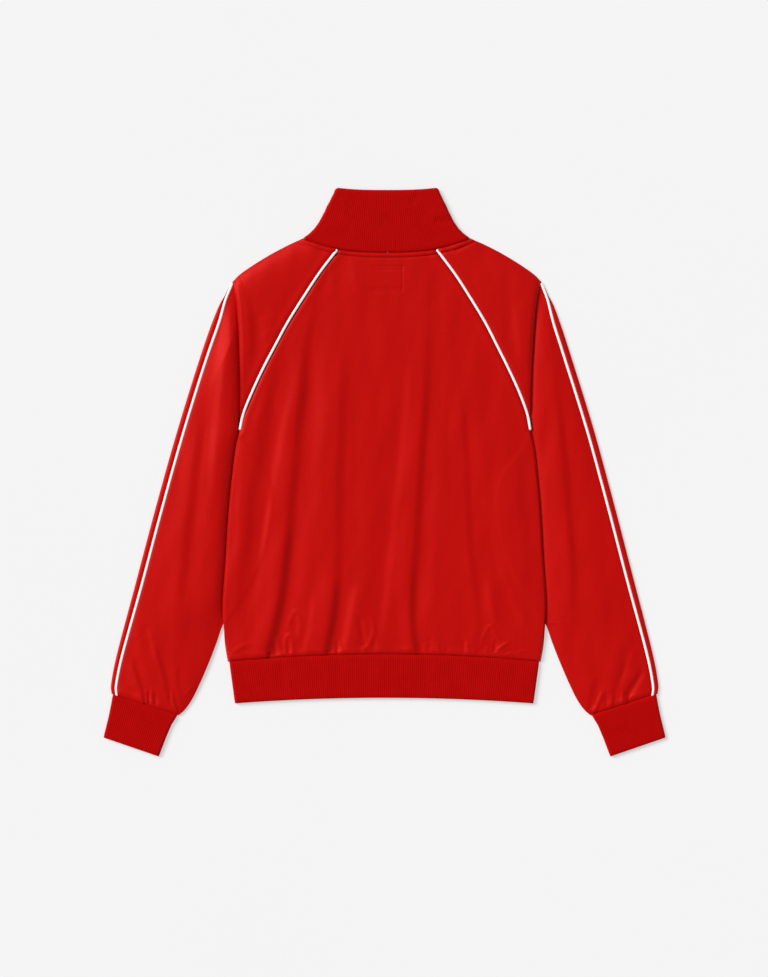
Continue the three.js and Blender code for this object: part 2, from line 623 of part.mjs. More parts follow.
// A flattened tube of rib. Its section runs along the top, round the side and back beneath.
function ribSection(half, height, thick, columnsTop, columnsUnder, raised) {
  const radius = height / 2;
  const flat = half - radius;
  const points = [];
  for (const column of range(columnsTop)) {
    const ridge = raised && column % 2 === 1 ? RIB_DEPTH : 0;
    points.push({ x: lerp(-flat, flat, column / columnsTop), z: height - thick + ridge });
  }
  for (const share of SIDE_TURN) {
    const angle = Math.PI * share;
    points.push({
      x: flat + (radius - thick) * Math.sin(angle),
      z: radius + (radius - thick) * Math.cos(angle),
    });
  }
  for (const column of range(columnsUnder)) {
    points.push({ x: lerp(flat, -flat, column / columnsUnder), z: thick });
  }
  for (const share of SIDE_TURN) {
    const angle = Math.PI * share;
    points.push({
      x: -flat - (radius - thick) * Math.sin(angle),
      z: radius - (radius - thick) * Math.cos(angle),
    });
  }
  return points;
}

// Bands that are open at the zip start beside it, run beneath to one side, over the top and
// back beneath from the other side
function openSection(half, height, thick, ribs, under, raised) {
  const radius = height / 2;
  const flat = half - radius;
  const bend = radius - thick;
  const points = [];
  for (const column of range(under)) {
    points.push({ x: lerp(-ZIP_CHANNEL, -flat, column / under), z: thick, beneath: 1 });
  }
  for (const share of SIDE_TURN) {
    const angle = Math.PI * share;
    points.push({
      x: -flat - bend * Math.sin(angle), z: radius - bend * Math.cos(angle), beneath: 1 - share,
    });
  }
  for (const column of range(ribs)) {
    const ridge = raised && column % 2 === 1 ? RIB_DEPTH : 0;
    points.push({ x: lerp(-flat, flat, column / ribs), z: height - thick + ridge, beneath: 0 });
  }
  for (const share of SIDE_TURN) {
    const angle = Math.PI * share;
    points.push({
      x: flat + bend * Math.sin(angle), z: radius + bend * Math.cos(angle), beneath: share,
    });
  }
  for (const column of range(under)) {
    points.push({ x: lerp(flat, ZIP_CHANNEL, column / under), z: thick, beneath: 1 });
  }
  return points;
}

function collar() {
  const ribs = 2 * Math.round((2 * COLLAR.baseHalf) / RIB_PITCH);
  const skin = (thick, columns, under, raised) => COLLAR_SIDE.map(({ level, half }) => {
    return openSection(half, COLLAR_HEIGHT, thick, columns, under, raised).map((point) => {
      const share = Math.min(Math.abs(point.x) / half, 1);
      const seamOut = share * COLLAR.baseHalf;
      const beneath = point.beneath === 1 && share < 0.95;
      const base = beneath ? frontNeckUp(seamOut) : neckUp(seamOut);
      const backTop = COLLAR.topMiddle + COLLAR.topRise * share ** 3;
      const frontTop = lerp(COLLAR.frontTop, backTop, share ** 2);
      const top = lerp(backTop, frontTop, point.beneath);
      return [point.x, lerp(base + SEAM_GAP, top, level), point.z];
    });
  });
  return wall(skin(0, ribs, 4, true), skin(COLLAR_WALL, INNER_COLUMNS, 3, false));
}

function hemBand() {
  const ribs = 2 * Math.round((2 * HEM.seamHalf) / RIB_PITCH);
  const levels = [0, 0.5, 1];
  const skin = (thick, columns, under, raised) => levels.map((level) => {
    const half = lerp(HEM.seamHalf, HEM.endHalf, level);
    return openSection(half, HEM_HEIGHT, thick, columns, under, raised).map((point) => {
      const share = Math.min(Math.abs(point.x) / half, 1);
      const seam = hemSeamUp(share * HEM.seamHalf);
      return [point.x, lerp(seam, hemEndUp(share * HEM.endHalf), level), point.z];
    });
  });
  return wall(skin(0, ribs, 4, true), skin(RIB_WALL, INNER_COLUMNS, 3, false));
}

function cuff(side) {
  const skin = (thick, columns, under, raised) => CUFF.map((row) => {
    const middle = [(row.outerOut + row.innerOut) / 2, (row.outerUp + row.innerUp) / 2];
    const span = [row.outerOut - row.innerOut, row.outerUp - row.innerUp];
    const half = Math.hypot(...span) / 2;
    return ribSection(half, CUFF_HEIGHT, thick, columns, under, raised).map((point) => {
      const share = point.x / (2 * half);
      return [side * (middle[0] + span[0] * share), middle[1] + span[1] * share, point.z];
    });
  });
  const ribs = 2 * Math.round(CUFF_WIDTH / RIB_PITCH);
  return wall(skin(0, ribs, 4, true), skin(RIB_WALL, 4, 4, false), true);
}

// Zip tape beside the middle line, on the inner face of the front, the collar and the hem band
function zipTape(side) {
  const onCollar = COLLAR_WALL + LAYER_PLAY;
  const places = [
    { up: HEM.endMiddle + TAPE_SHORT, z: RIB_WALL },
    { up: HEM.seamMiddle - TAPE_EASE / 2, z: RIB_WALL },
    { up: HEM.seamMiddle + TAPE_SHORT, z: RIB_WALL },
    { up: HEM.seamMiddle + TAPE_EASE, z: CLOTH },
    ...TAPE_BENDS.map((up) => ({ up, z: CLOTH })),
    { up: FRONT_NECK.middle - TAPE_EASE, z: CLOTH + 2 * LAYER_PLAY },
    { up: FRONT_NECK.middle - TAPE_SHORT, z: onCollar },
    { up: COLLAR.frontTop - TAPE_SHORT, z: onCollar },
  ];
  const skin = (height) => places.map((place) => [TAPE_INNER, TAPE_OUTER].map((out) => {
    return [side * out, place.up, place.z + SEAM_GAP + height];
  }));
  return wall(skin(TAPE_THICK), skin(0));
}

// Zip slider and pull tab. The slider's outer face looks down, toward the surface.
const SLIDER = {
  up: 370, length: 12, half: 4.4, lowerZ: 2.1, lowerTop: 3.1, upperZ: 4.75, upperTop: 5.6,
  postHalf: 1.4, postLong: 4, postIn: 2.4, sunk: 0.4,
  archHalf: 0.7, archReach: 3.4, archThick: 0.7, archZ: 0.1, archDeep: 0.55,
};
// The slider's leaf: half widths as shares of its widest, at the tail, the shoulders and the nose
const LEAF = { tail: 0.55, shoulder: 0.8, nose: 0.45, step: 1 };
const PULL = {
  half: 2.7, length: 28, hingeZ: 1.4, thick: 0.8, window: 4.4, windowHalf: 1.3, bar: 0.4,
  shoulder: 3, headShare: 0.8, tipShare: 0.7, tipRound: 0.8,
};

const wasm = await Module();
wasm.setup();

// The same outline on the left, in the order that closes the loop
const mirrored = (outline) => outline.map(([x, y]) => [-x, y]).reverse();

function plate(outline, thick, holes = []) {
  const shape = new THREE.Shape(outline.map(([x, y]) => new THREE.Vector2(x, y)));
  shape.holes = holes.map((hole) => new THREE.Path(hole.map(([x, y]) => new THREE.Vector2(x, y))));
  return new THREE.ExtrudeGeometry(shape, { depth: thick, bevelEnabled: false, steps: 1 });
}

function solid(geometry) {
  const corners = new Map();
  const position = geometry.getAttribute('position');
  const order = geometry.index ? Array.from(geometry.index.array) : range(position.count - 1);
  const points = [];
  const triangles = order.map((index) => {
    const point = [position.getX(index), position.getY(index), position.getZ(index)];
    const key = point.map((value) => Math.round(value * 1e5)).join();
    if (!corners.has(key)) {
      corners.set(key, points.length / 3);
      points.push(...point);
    }
    return corners.get(key);
  });
  return new wasm.Manifold(new wasm.Mesh({
    numProp: 3, vertProperties: new Float32Array(points), triVerts: new Uint32Array(triangles),
  }));
}

function fromSolid(body) {
  const mesh = body.getMesh();
  const geometry = new THREE.BufferGeometry();
  geometry.setAttribute('position', new THREE.Float32BufferAttribute(mesh.vertProperties, 3));
  geometry.setIndex(Array.from(mesh.triVerts));
  return geometry;
}

function zipSlider() {
  const half = SLIDER.half;
  const nose = SLIDER.length / 2;
  const leafRight = [
    [half * LEAF.tail, -nose], [half, LEAF.step], [half * LEAF.shoulder, nose - LEAF.step],
    [half * LEAF.nose, nose],
  ];
  const leaf = [...leafRight, ...mirrored(leafRight)];
  const lower = plate(leaf, SLIDER.lowerTop - SLIDER.lowerZ).translate(0, 0, SLIDER.lowerZ);
  const upper = plate(leaf, SLIDER.upperTop - SLIDER.upperZ).translate(0, 0, SLIDER.upperZ);
  const postHigh = SLIDER.upperTop - SLIDER.lowerZ - SLIDER.sunk;
  const post = new THREE.BoxGeometry(2 * SLIDER.postHalf, SLIDER.postLong, postHigh);
  post.translate(0, nose - SLIDER.postIn, (SLIDER.upperTop + SLIDER.lowerZ) / 2);
  const [reach, thick, root] = [SLIDER.archReach, SLIDER.archThick, SLIDER.lowerZ + SLIDER.sunk];
  const archRight = [
    [reach, SLIDER.archZ], [reach, root], [reach - thick, root],
    [reach - thick, SLIDER.archZ + SLIDER.archDeep],
  ];
  const archShape = [...archRight, ...mirrored(archRight)];
  const arch = plate(archShape, 2 * SLIDER.archHalf).translate(0, 0, -SLIDER.archHalf);
  arch.rotateX(Math.PI / 2).rotateZ(Math.PI / 2);
  const joined = solid(lower).add(solid(upper)).add(solid(post)).add(solid(arch));
  return fromSolid(joined).translate(0, SLIDER.up, 0);
}

function zipPull() {
  const { half, length, window, windowHalf, bar, shoulder } = PULL;
  const right = [
    [half * PULL.headShare, bar], [half, -window - shoulder], [half, shoulder - length],
    [half * PULL.tipShare, PULL.tipRound - length],
  ];
  const outline = [...right, [0, -length], ...mirrored(right)];
  const hole = [
    [-windowHalf, -bar], [-windowHalf, -window], [windowHalf, -window], [windowHalf, -bar],
  ];
  return plate(outline, PULL.thick, [hole]).translate(0, SLIDER.up, PULL.hingeZ - PULL.thick / 2);
}

// Assembly
const backUnder = backPanelUnderside();
add('back', wall(lifted(backUnder, CLOTH), backUnder), TRICOT);
add('collar', collar(), RIB_KNIT);
add('hem_rib', hemBand(), RIB_KNIT);
for (const [name, side] of [['left', -1], ['right', 1]]) {
  const sleeve = sleeveBackUnderside(side);
  add(`front_${name}`, frontPanel(side), TRICOT);
  add(`sleeve_back_${name}`, wall(lifted(sleeve, CLOTH), sleeve), TRICOT);
  add(`sleeve_front_${name}`, sleeveFront(side), TRICOT);
  add(`cuff_${name}`, cuff(side), RIB_KNIT);
  add(`piping_raglan_${name}`, raglanPiping(side, backUnder, sleeve), PIPING);
  add(`piping_sleeve_${name}`, sleevePiping(side, sleeve), PIPING);
  add(`zip_tape_${name}`, zipTape(side), TAPE);
}
add('zip_slider', zipSlider(), METAL);
add('zip_pull', zipPull(), METAL);

// The origin lies under the middle of the jacket
const box = new THREE.Box3().setFromObject(jacket);
const middle = box.getCenter(new THREE.Vector3());
jacket.position.set(-middle.x, -middle.y, -box.min.z);

export default jacket;
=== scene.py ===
# %% [markdown]
# Track jacket, laid flat
#
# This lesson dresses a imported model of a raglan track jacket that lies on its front, back up.
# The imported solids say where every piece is. Here each piece gets its cloth: panels of tricot
# with their folds, rib bands knitted rib by rib, satin piping, stitches and a zip.

# %% Load the frame and keep its box
import math

import bpy
import numpy as np
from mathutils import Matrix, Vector


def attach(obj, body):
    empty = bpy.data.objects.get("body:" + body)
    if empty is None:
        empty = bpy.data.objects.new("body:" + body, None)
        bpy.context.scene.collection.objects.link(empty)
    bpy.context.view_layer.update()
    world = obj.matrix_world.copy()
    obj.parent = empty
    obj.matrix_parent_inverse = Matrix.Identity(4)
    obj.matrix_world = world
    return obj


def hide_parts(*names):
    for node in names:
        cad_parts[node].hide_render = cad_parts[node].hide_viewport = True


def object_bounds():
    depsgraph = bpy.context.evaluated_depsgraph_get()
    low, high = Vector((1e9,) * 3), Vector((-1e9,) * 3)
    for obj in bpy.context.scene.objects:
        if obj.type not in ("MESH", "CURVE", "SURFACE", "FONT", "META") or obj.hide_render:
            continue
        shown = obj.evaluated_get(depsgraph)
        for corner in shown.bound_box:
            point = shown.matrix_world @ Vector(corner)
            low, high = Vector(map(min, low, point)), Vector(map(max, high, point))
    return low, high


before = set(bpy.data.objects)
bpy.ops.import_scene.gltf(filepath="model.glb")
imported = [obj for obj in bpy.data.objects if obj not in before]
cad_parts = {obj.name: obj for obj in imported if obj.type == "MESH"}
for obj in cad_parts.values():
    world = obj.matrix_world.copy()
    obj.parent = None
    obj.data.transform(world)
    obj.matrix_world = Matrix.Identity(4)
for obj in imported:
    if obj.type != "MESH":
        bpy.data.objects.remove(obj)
cad_low, cad_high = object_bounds()
MM = 0.001
print("packed nodes:", sorted(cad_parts))

# %% [markdown]
# Camera
#
# The picture looks straight down at the jacket. A long lens high above keeps the outline free
# of perspective. One millimetre scale ties the picture to the jacket: 1.45 mm to a pixel.

# %% Camera
PHOTO = {"wide": 768, "high": 977, "mm_per_pixel": 1.45}
JACKET_MIDDLE = {"pixel_x": 384.15, "pixel_y": 472.5}
# The pattern's zero lies a little beside the frame's: how far, from one known edge each way
CUFF_EDGE_OUT, COLLAR_TOP_UP = 407.5, 413.3
SHIFT_RIGHT = cad_low.x / MM + CUFF_EDGE_OUT
SHIFT_UP = cad_high.y / MM - COLLAR_TOP_UP
LENS = 150.0
SENSOR = 36.0


def add_camera():
    data = bpy.data.cameras.new("camera")
    data.lens = LENS
    data.sensor_width = SENSOR
    camera = bpy.data.objects.new("camera", data)
    bpy.context.scene.collection.objects.link(camera)
    tall = PHOTO["high"] * PHOTO["mm_per_pixel"] * MM
    across = (PHOTO["wide"] / 2 - JACKET_MIDDLE["pixel_x"]) * PHOTO["mm_per_pixel"] + SHIFT_RIGHT
    along = (JACKET_MIDDLE["pixel_y"] - PHOTO["high"] / 2) * PHOTO["mm_per_pixel"] + SHIFT_UP
    far = tall * LENS / SENSOR
    camera.location = (across * MM, along * MM, far + cad_high.z)
    data.clip_end = far * 3
    bpy.context.scene.camera = camera
    return camera


camera = add_camera()
print("camera height in metres:", round(camera.location.z, 3))

# %% [markdown]
# Cloth drawn by curves
#
# A maker's pattern has few points and smooth lines between them. Each line of the jacket is a
# short table of places, "out" from the middle and "up" along it in millimetres, and a
# Catmull-Rom curve runs through them. One table serves both sides.

# %% Curves through short tables
def curve_through(rows, steps=48):
    points = np.array(rows, float)
    if len(points) == 2:
        return points
    ends = np.vstack([2 * points[0] - points[1], points, 2 * points[-1] - points[-2]])
    share = np.linspace(0, 1, steps, endpoint=False)[:, None]
    pieces = []
    for a, b, c, d in zip(ends, ends[1:], ends[2:], ends[3:]):
        first, middle, last = (np.sqrt(np.linalg.norm(q - p)) for p, q in ((a, b), (b, c), (c, d)))
        leave = (b - a) / first - (c - a) / (first + middle) + (c - b) / middle
        arrive = (c - b) / middle - (d - b) / (middle + last) + (d - c) / last
        leave, arrive = leave * middle, arrive * middle
        square = -3 * b + 3 * c - 2 * leave - arrive
        cube = 2 * b - 2 * c + leave + arrive
        pieces.append(b + leave * share + square * share**2 + cube * share**3)
    return np.vstack(pieces + [points[-1:]])


def length_along(line):
    return np.concatenate([[0], np.cumsum(np.linalg.norm(np.diff(line, axis=0), axis=1))])


def walk(line, shares):
    """Places on a line at shares of its length, with the direction across it, away from the middle."""
    run = length_along(line)
    at = np.clip(np.asarray(shares, float), 0, 1) * run[-1]
    place = np.stack([np.interp(at, run, line[:, k]) for k in (0, 1)], axis=-1)
    slope = np.gradient(line, run, axis=0)
    heading = np.stack([np.interp(at, run, slope[:, k]) for k in (0, 1)], axis=-1)
    heading /= np.linalg.norm(heading, axis=-1, keepdims=True)
    across = np.stack([-heading[..., 1], heading[..., 0]], axis=-1)
    return place, across


def out_at(line, up):
    return np.interp(-np.asarray(up, float), -line[:, 1], line[:, 0])


def distance_to(line, x, y):
    """How far each place is from a line."""
    places = np.stack([x.ravel(), y.ravel()], axis=-1)
    best = np.full(len(places), np.inf)
    start, run = line[:-1], np.diff(line, axis=0)
    for a, d in zip(start, run):
        share = np.clip(((places - a) @ d) / max(d @ d, 1e-12), 0, 1)
        best = np.minimum(best, np.linalg.norm(places - a - share[:, None] * d, axis=1))
    return best.reshape(x.shape)


def spread(count, peaks, extra, wide):
    """Shares from 0 to 1, closer together around the peaks."""
    even = np.linspace(0, 1, 801)
    density = 1 + sum(extra * np.exp(-(((even - peak) / wide) ** 2)) for peak in peaks)
    run = np.concatenate([[0], np.cumsum((density[1:] + density[:-1]) / 2)])
    return np.interp(np.linspace(0, run[-1], count + 1), run, even)


# %% [markdown]
# The pattern lines
#
# These are the sizes of the solids too, so that the cloth lies on them without any fitting. Only
# the over-arm seam runs a little otherwise, over the first 85 mm below the shoulder.

# %% Pattern lines in millimetres
UNDERARM = (209.5, 61.6)
SHOULDER_POINT = (221.1, 277.7)
SHOULDER_NECK = (118.2, 340.0)
RAGLAN = curve_through([
    (68.9, 324.1), (96.4, 287.8), (119.6, 253.0), (141.4, 218.2), (160.2, 183.4),
    (178.4, 148.6), (194.3, 113.8), (205.2, 84.1), UNDERARM,
])
FRONT_RAGLAN = curve_through([
    (75, 307.7), (121, 236), (160, 170), (191, 108), (204, 80), UNDERARM,
])
BODY_SIDE = curve_through([
    UNDERARM, (215.3, 35.5), (221.1, -10.9), (225.5, -57.3), (229.8, -126.9), (234.2, -196.5),
    (232.3, -231), (230.6, -253), (227.0, -274.6),
])
SHOULDER_SLOPE = curve_through([
    SHOULDER_NECK, (144.3, 328.4), (176.2, 311), (211, 287.8), SHOULDER_POINT,
])
SLEEVE_OUTER = curve_through([
    SHOULDER_POINT, (237.1, 253), (250.1, 218.2), (273.3, 148.6), (305.2, 44.2),
    (334.2, -60.2), (361.8, -164.6), (389.3, -269), (394.8, -296), (396.8, -312), (395.6, -321.4),
])
SLEEVE_INNER = curve_through([
    UNDERARM, (209.5, 50), (197, 28), (172, -5), (166, -50), (178, -115), (205, -175),
    (233.5, -220), (242.5, -245), (252.8, -272), (267.8, -307), (279.8, -331), (289.8, -345),
    (298.5, -352.6),
])
EXIT_UP = -220.0
# Where the sleeve turns down from the shoulder, written downward
VALLEY_LINE = curve_through([
    SHOULDER_POINT, (216, 250), (212.8, 207), (211.2, 163), (209.8, 110), UNDERARM,
])
NECK = {"middle": 319.1, "rise": 5.0, "raglan_out": 68.9, "power": 2.65}
FRONT_NECK = {"middle": 289.0, "power": 2.2, "raglan_out": 75.0}
HEM = {"seam_middle": -264.3, "seam_drop": 10.6, "seam_half": 225.0,
       "end_middle": -326.9, "end_drop": 8.2, "end_half": 216.8}
COLLAR = {"base_half": 118.2, "top_middle": 409.9, "top_rise": 3.4, "front_top": 384.0}
# Half width of the collar against its height in hundredths, written downward
COLLAR_SIDE = curve_through([
    (118.2, 0), (109.5, -8), (100.8, -20), (93.5, -35), (88.0, -50), (82.9, -65), (76.4, -83),
    (73.0, -94), (71.6, -98), (69.6, -100),
])
CUFF_OUTER = [(394.0, -321.9), (396.4, -336.5), (399.8, -353.2), (403.6, -368.8), (407.5, -384.5)]
CUFF_INNER = [(300.0, -352.6), (308.8, -366.5), (315.6, -382.4), (321.4, -397.4), (326.9, -412.2)]
CUFF_LINE = np.array([CUFF_INNER[0], CUFF_OUTER[0]], float)
CUFF_ACROSS = (CUFF_LINE[1] - CUFF_LINE[0]) / np.linalg.norm(CUFF_LINE[1] - CUFF_LINE[0])

CLOTH = 1.2
# The dressed cloth is a thinner skin at the outer face of its solid
SKIN = 0.8
FRONT_SKIN = 0.9
SEAM_GAP = 0.3
LAYER_LOW = CLOTH + SEAM_GAP
FRONT_OVER_SLEEVE = LAYER_LOW + CLOTH + 0.8
BODY_RISE = 3.3
ZIP_CLEARANCE = 3.4
ZIP_CHANNEL = 6.0
COLLAR_HEIGHT, COLLAR_WALL = 9.0, 3.0
HEM_HEIGHT, CUFF_HEIGHT, RIB_WALL = 6.9, 6.2, 2.4
RIB_PITCH, RIB_DEPTH = 3.2, 0.4
WRAP_FULL, WRAP_CUFF, WRAP_START = 9.6, 7.9, 85.0
# How fast the over-arm seam leaves the edge, and how far above the cuff it starts to come back
WRAP_POWER, WRAP_ENDS = 2.4, 200
# Above the cuff the sleeve's rows turn, over this length, to run along its seam
CUFF_TURN = 45
FAN_REACH, FAN_STEP, FAN_STEPS = 205.0, 3.2, 6
# The right side is drawn out by a few millimetres: up, body, arm
DRAWN_OUT = np.array([
    (-330, 0, 1.2), (-200, 0, 2.8), (-100, 0.5, 3.2), (0, 1.5, 3.8), (60, 2.6, 4.5),
    (150, 3.0, 4.7), (215, 4.9, 5.4), (280, 6.4, 6.2), (320, 6.8, 6.6),
])
# Its left shoulder lies a little nearer the middle: where that starts, is full, fades and ends
LEFT_SHOULDER = {"by": 1.7, "out": (60, 120, 215, 265), "up": (50, 130, 325, 345)}
print("raglan seam length in mm:", round(length_along(RAGLAN)[-1]))

# %% Easing, and where the jacket isn't quite straight
def ease(value, low, high):
    share = np.clip((np.asarray(value, float) - low) / (high - low), 0, 1)
    return share * share * (3 - 2 * share)


def settle(distance, reach):
    return 1 - np.exp(-np.maximum(distance, 0) / reach)


def drawn_out(x, up):
    body = np.interp(up, DRAWN_OUT[:, 0], DRAWN_OUT[:, 1])
    arm = np.interp(up, DRAWN_OUT[:, 0], DRAWN_OUT[:, 2])
    ramps = ease(x, -110, -20) + ease(x, 20, 70)
    start, full, fade, end = LEFT_SHOULDER["out"]
    shoulder = ease(-x, start, full) - ease(-x, fade, end)
    start, full, fade, end = LEFT_SHOULDER["up"]
    shoulder = LEFT_SHOULDER["by"] * shoulder * (ease(up, start, full) - ease(up, fade, end))
    return body * ramps / 2 + (arm - body) * ease(x, 200, 300) + shoulder


def in_frame(points):
    """From pattern places in millimetres to the frame, in metres."""
    points = np.array(points, float)
    points[..., 0] += drawn_out(points[..., 0], points[..., 1]) + SHIFT_RIGHT
    points[..., 1] += SHIFT_UP
    return points * MM


def puckers(x, y, away, fade, high):
    """Small irregular waves where cloth is eased onto a tighter band; they fade from the seam."""
    wave = np.zeros_like(x)
    for number, (long, share) in enumerate(((17.0, 0.5), (11.3, 0.35), (7.7, 0.3), (29.0, 0.5))):
        drift = 6 * np.sin(x / (43 + 11 * number) + 2.1 * number)
        wave += share * np.sin(2 * np.pi * (x + drift) / long + 1.3 * number)
    patchy = 0.55 + 0.45 * np.sin(x / 31.0 + 1.2) * np.sin(x / 77.0)
    return high * patchy * wave * np.exp(-away / fade) * ease(away, 0.5, 4)


# %% [markdown]
# Folds
#
# Lying cloth keeps long soft folds. A simulation would put them anywhere, so they are listed, in
# millimetres, in the same places as the folds of the solids. Each row of a table is one
# fold: its path, the half width of its steep side, how far the cloth falls there toward the
# right, and how strongly it starts and stops. The cloth comes back to its height slowly on both
# sides, as a rolled fold does. Where it falls toward the right it lies in shade, and where it
# rises (a negative fall) it catches the light.

# %% Fold tables: path, half width, fall, start, stop
BACK_FOLDS = [
    ([(-88, 284), (-96, 258), (-104, 228), (-115, 172), (-121, 100), (-126, 34), (-134, -52),
      (-140, -118), (-147, -177), (-158, -227), (-167, -258)], 8, 3.2, 0.2, 1),
    ([(-135, -60), (-141, -118), (-148, -177), (-158, -227), (-167, -260)], 7, 2.2, 0, 1),
    ([(-136, 208), (-151, 159), (-167, 113), (-180, 34), (-191, -35), (-198, -101),
      (-208, -177), (-214, -225)], 10, 2.1, 0.1, 0),
    ([(-59, 195), (-60, 133), (-62, 60), (-64, 0), (-65, -85), (-67, -150), (-72, -200),
      (-82, -255)], 8, 2.2, 0, 1),
    ([(-67, -140), (-71, -195), (-77, -230), (-83, -258)], 6, 2.2, 0, 1),
    ([(60, 228), (60, 139), (55, 50), (51, -20), (48, -85), (43, -150), (41, -200),
      (43, -235), (47, -261)], 6.5, 2.6, 0.1, 1),
    ([(45, -130), (41, -180), (42, -227), (47, -261)], 5, 1.3, 0, 1),
    ([(113, 139), (114, 60), (119, 10), (121, -50), (126, -120), (134, -175), (138, -215),
      (135, -255)], 5.5, 1.5, 0, 0.5),
    ([(174, 100), (187, 34), (196, -30), (206, -101), (212, -167), (216, -215)], 12, 1.6, 0, 0),
    ([(156, -160), (162, -200), (169, -230)], 6, 0.8, 0, 0),
    ([(-128, 190), (-136, 126), (-148, 64), (-162, -19), (-170, -65), (-178, -118),
      (-184, -165), (-198, -217), (-210, -246)], 6, -0.9, 0, 0),
    ([(-164, -25), (-172, -80), (-181, -148)], 4, -0.6, 0, 0),
    ([(-92, 225), (-95, 170), (-99, 100), (-99, 0), (-100, -50), (-103, -95)], 12, -1.2, 0, 0),
    ([(36, 185), (30, 110), (23, 30), (18, -30), (11, -101), (6, -151), (1, -190), (-6, -243),
      (-11, -262)], 7, -1.4, 0, 0.8),
    ([(-43, -155), (-49, -200), (-57, -240), (-64, -262)], 6, -1.5, 0, 0.8),
    ([(-104, -170), (-107, -214), (-112, -240), (-120, -262)], 5, -1.2, 0, 0.8),
    ([(154, -58), (162, -105), (171, -151), (186, -190), (203, -227), (219, -257)], 7, -0.9, 0, 0.4),
    ([(143, -138), (148, -167), (154, -204), (158, -226)], 5, -0.7, 0, 0),
    ([(-210, 20), (-214, -60), (-218, -140)], 5, -0.7, 0, 0),
    ([(-52, 300), (-49, 278), (-43, 255)], 6, -0.6, 0.2, 0),
    ([(50, 300), (51, 278), (48, 245)], 6, -0.5, 0.2, 0),
    ([(79, 265), (81, 232)], 6, -0.4, 0, 0),
    ([(-80, 298), (-81, 250)], 6, -0.5, 0.2, 0),
]
SLEEVE_FOLDS = [
    ([(-260, 132), (-264, 88), (-271, 27), (-277, -30), (-284, -89), (-291, -147), (-297, -199),
      (-307, -246)], 8, 2.4, 0, 0),
    ([(-232, 240), (-236, 190), (-240, 130), (-247, 64), (-252, -20), (-255, -62)], 6, -1.4, 0, 0),
    ([(-334, -245), (-325, -275), (-319, -295), (-314, -320)], 4.5, 1.7, 0.1, 0.8),
    ([(-357, -222), (-346, -224), (-339, -245), (-331, -272), (-323, -298)], 4, -1.0, 0.3, 0.4),
    ([(-368, -266), (-360, -289), (-354, -307), (-350, -318), (-349, -330)], 4, 2.0, 0, 1),
    ([(-358, -222), (-353, -242)], 5, 0.8, 0.3, 0),
    ([(-300, -278), (-299, -304), (-296, -320)], 3.5, 1.0, 0, 0.4),
    ([(240, 162), (248, 122), (255, 56), (261, -2), (265, -54), (270, -112), (272, -170),
      (272, -228), (276, -264)], 6, 2.5, 0, 0),
    ([(347, -268), (339, -300), (332, -325)], 5, 1.2, 0, 0.6),
    ([(362, -242), (354, -268), (347, -290), (339, -314)], 4, -1.0, 0.2, 0.4),
    ([(374, -279), (365, -297), (356, -310), (351, -318), (351, -331)], 4, 2.3, 0.1, 1),
    ([(380, -283), (369, -302), (359, -320)], 4, -1.4, 0.1, 0.8),
    ([(360, -237), (356, -257)], 5, 0.7, 0.2, 0),
    ([(308, -294), (301, -316), (297, -333)], 5, 1.4, 0, 0.8),
]
SHOULDER_FOLDS = [
    ([(-206, 268), (-198, 246), (-194, 212), (-192, 186), (-194, 150)], 6, 1.5, 0.3, 0),
    ([(-181, 234), (-177, 188)], 6, -0.7, 0, 0),
    ([(-171, 206), (-168, 172)], 5, 0.5, 0, 0),
    ([(-148, 267), (-143, 243)], 5, 0.5, 0, 0),
    ([(176, 257), (186, 205), (194, 150)], 6, -0.9, 0, 0),
    ([(169, 230), (173, 187)], 5, 0.6, 0, 0),
]
FOLD_COMES_BACK = 4.0

# %% [markdown]
# Creases
#
# Where the cloth is eased onto a band it stands up in small loops, and presses lie here and
# there. A crease is a ridge or a trough, alike on both sides of its path: the path, a half
# width, a height, and how strongly it starts and stops.

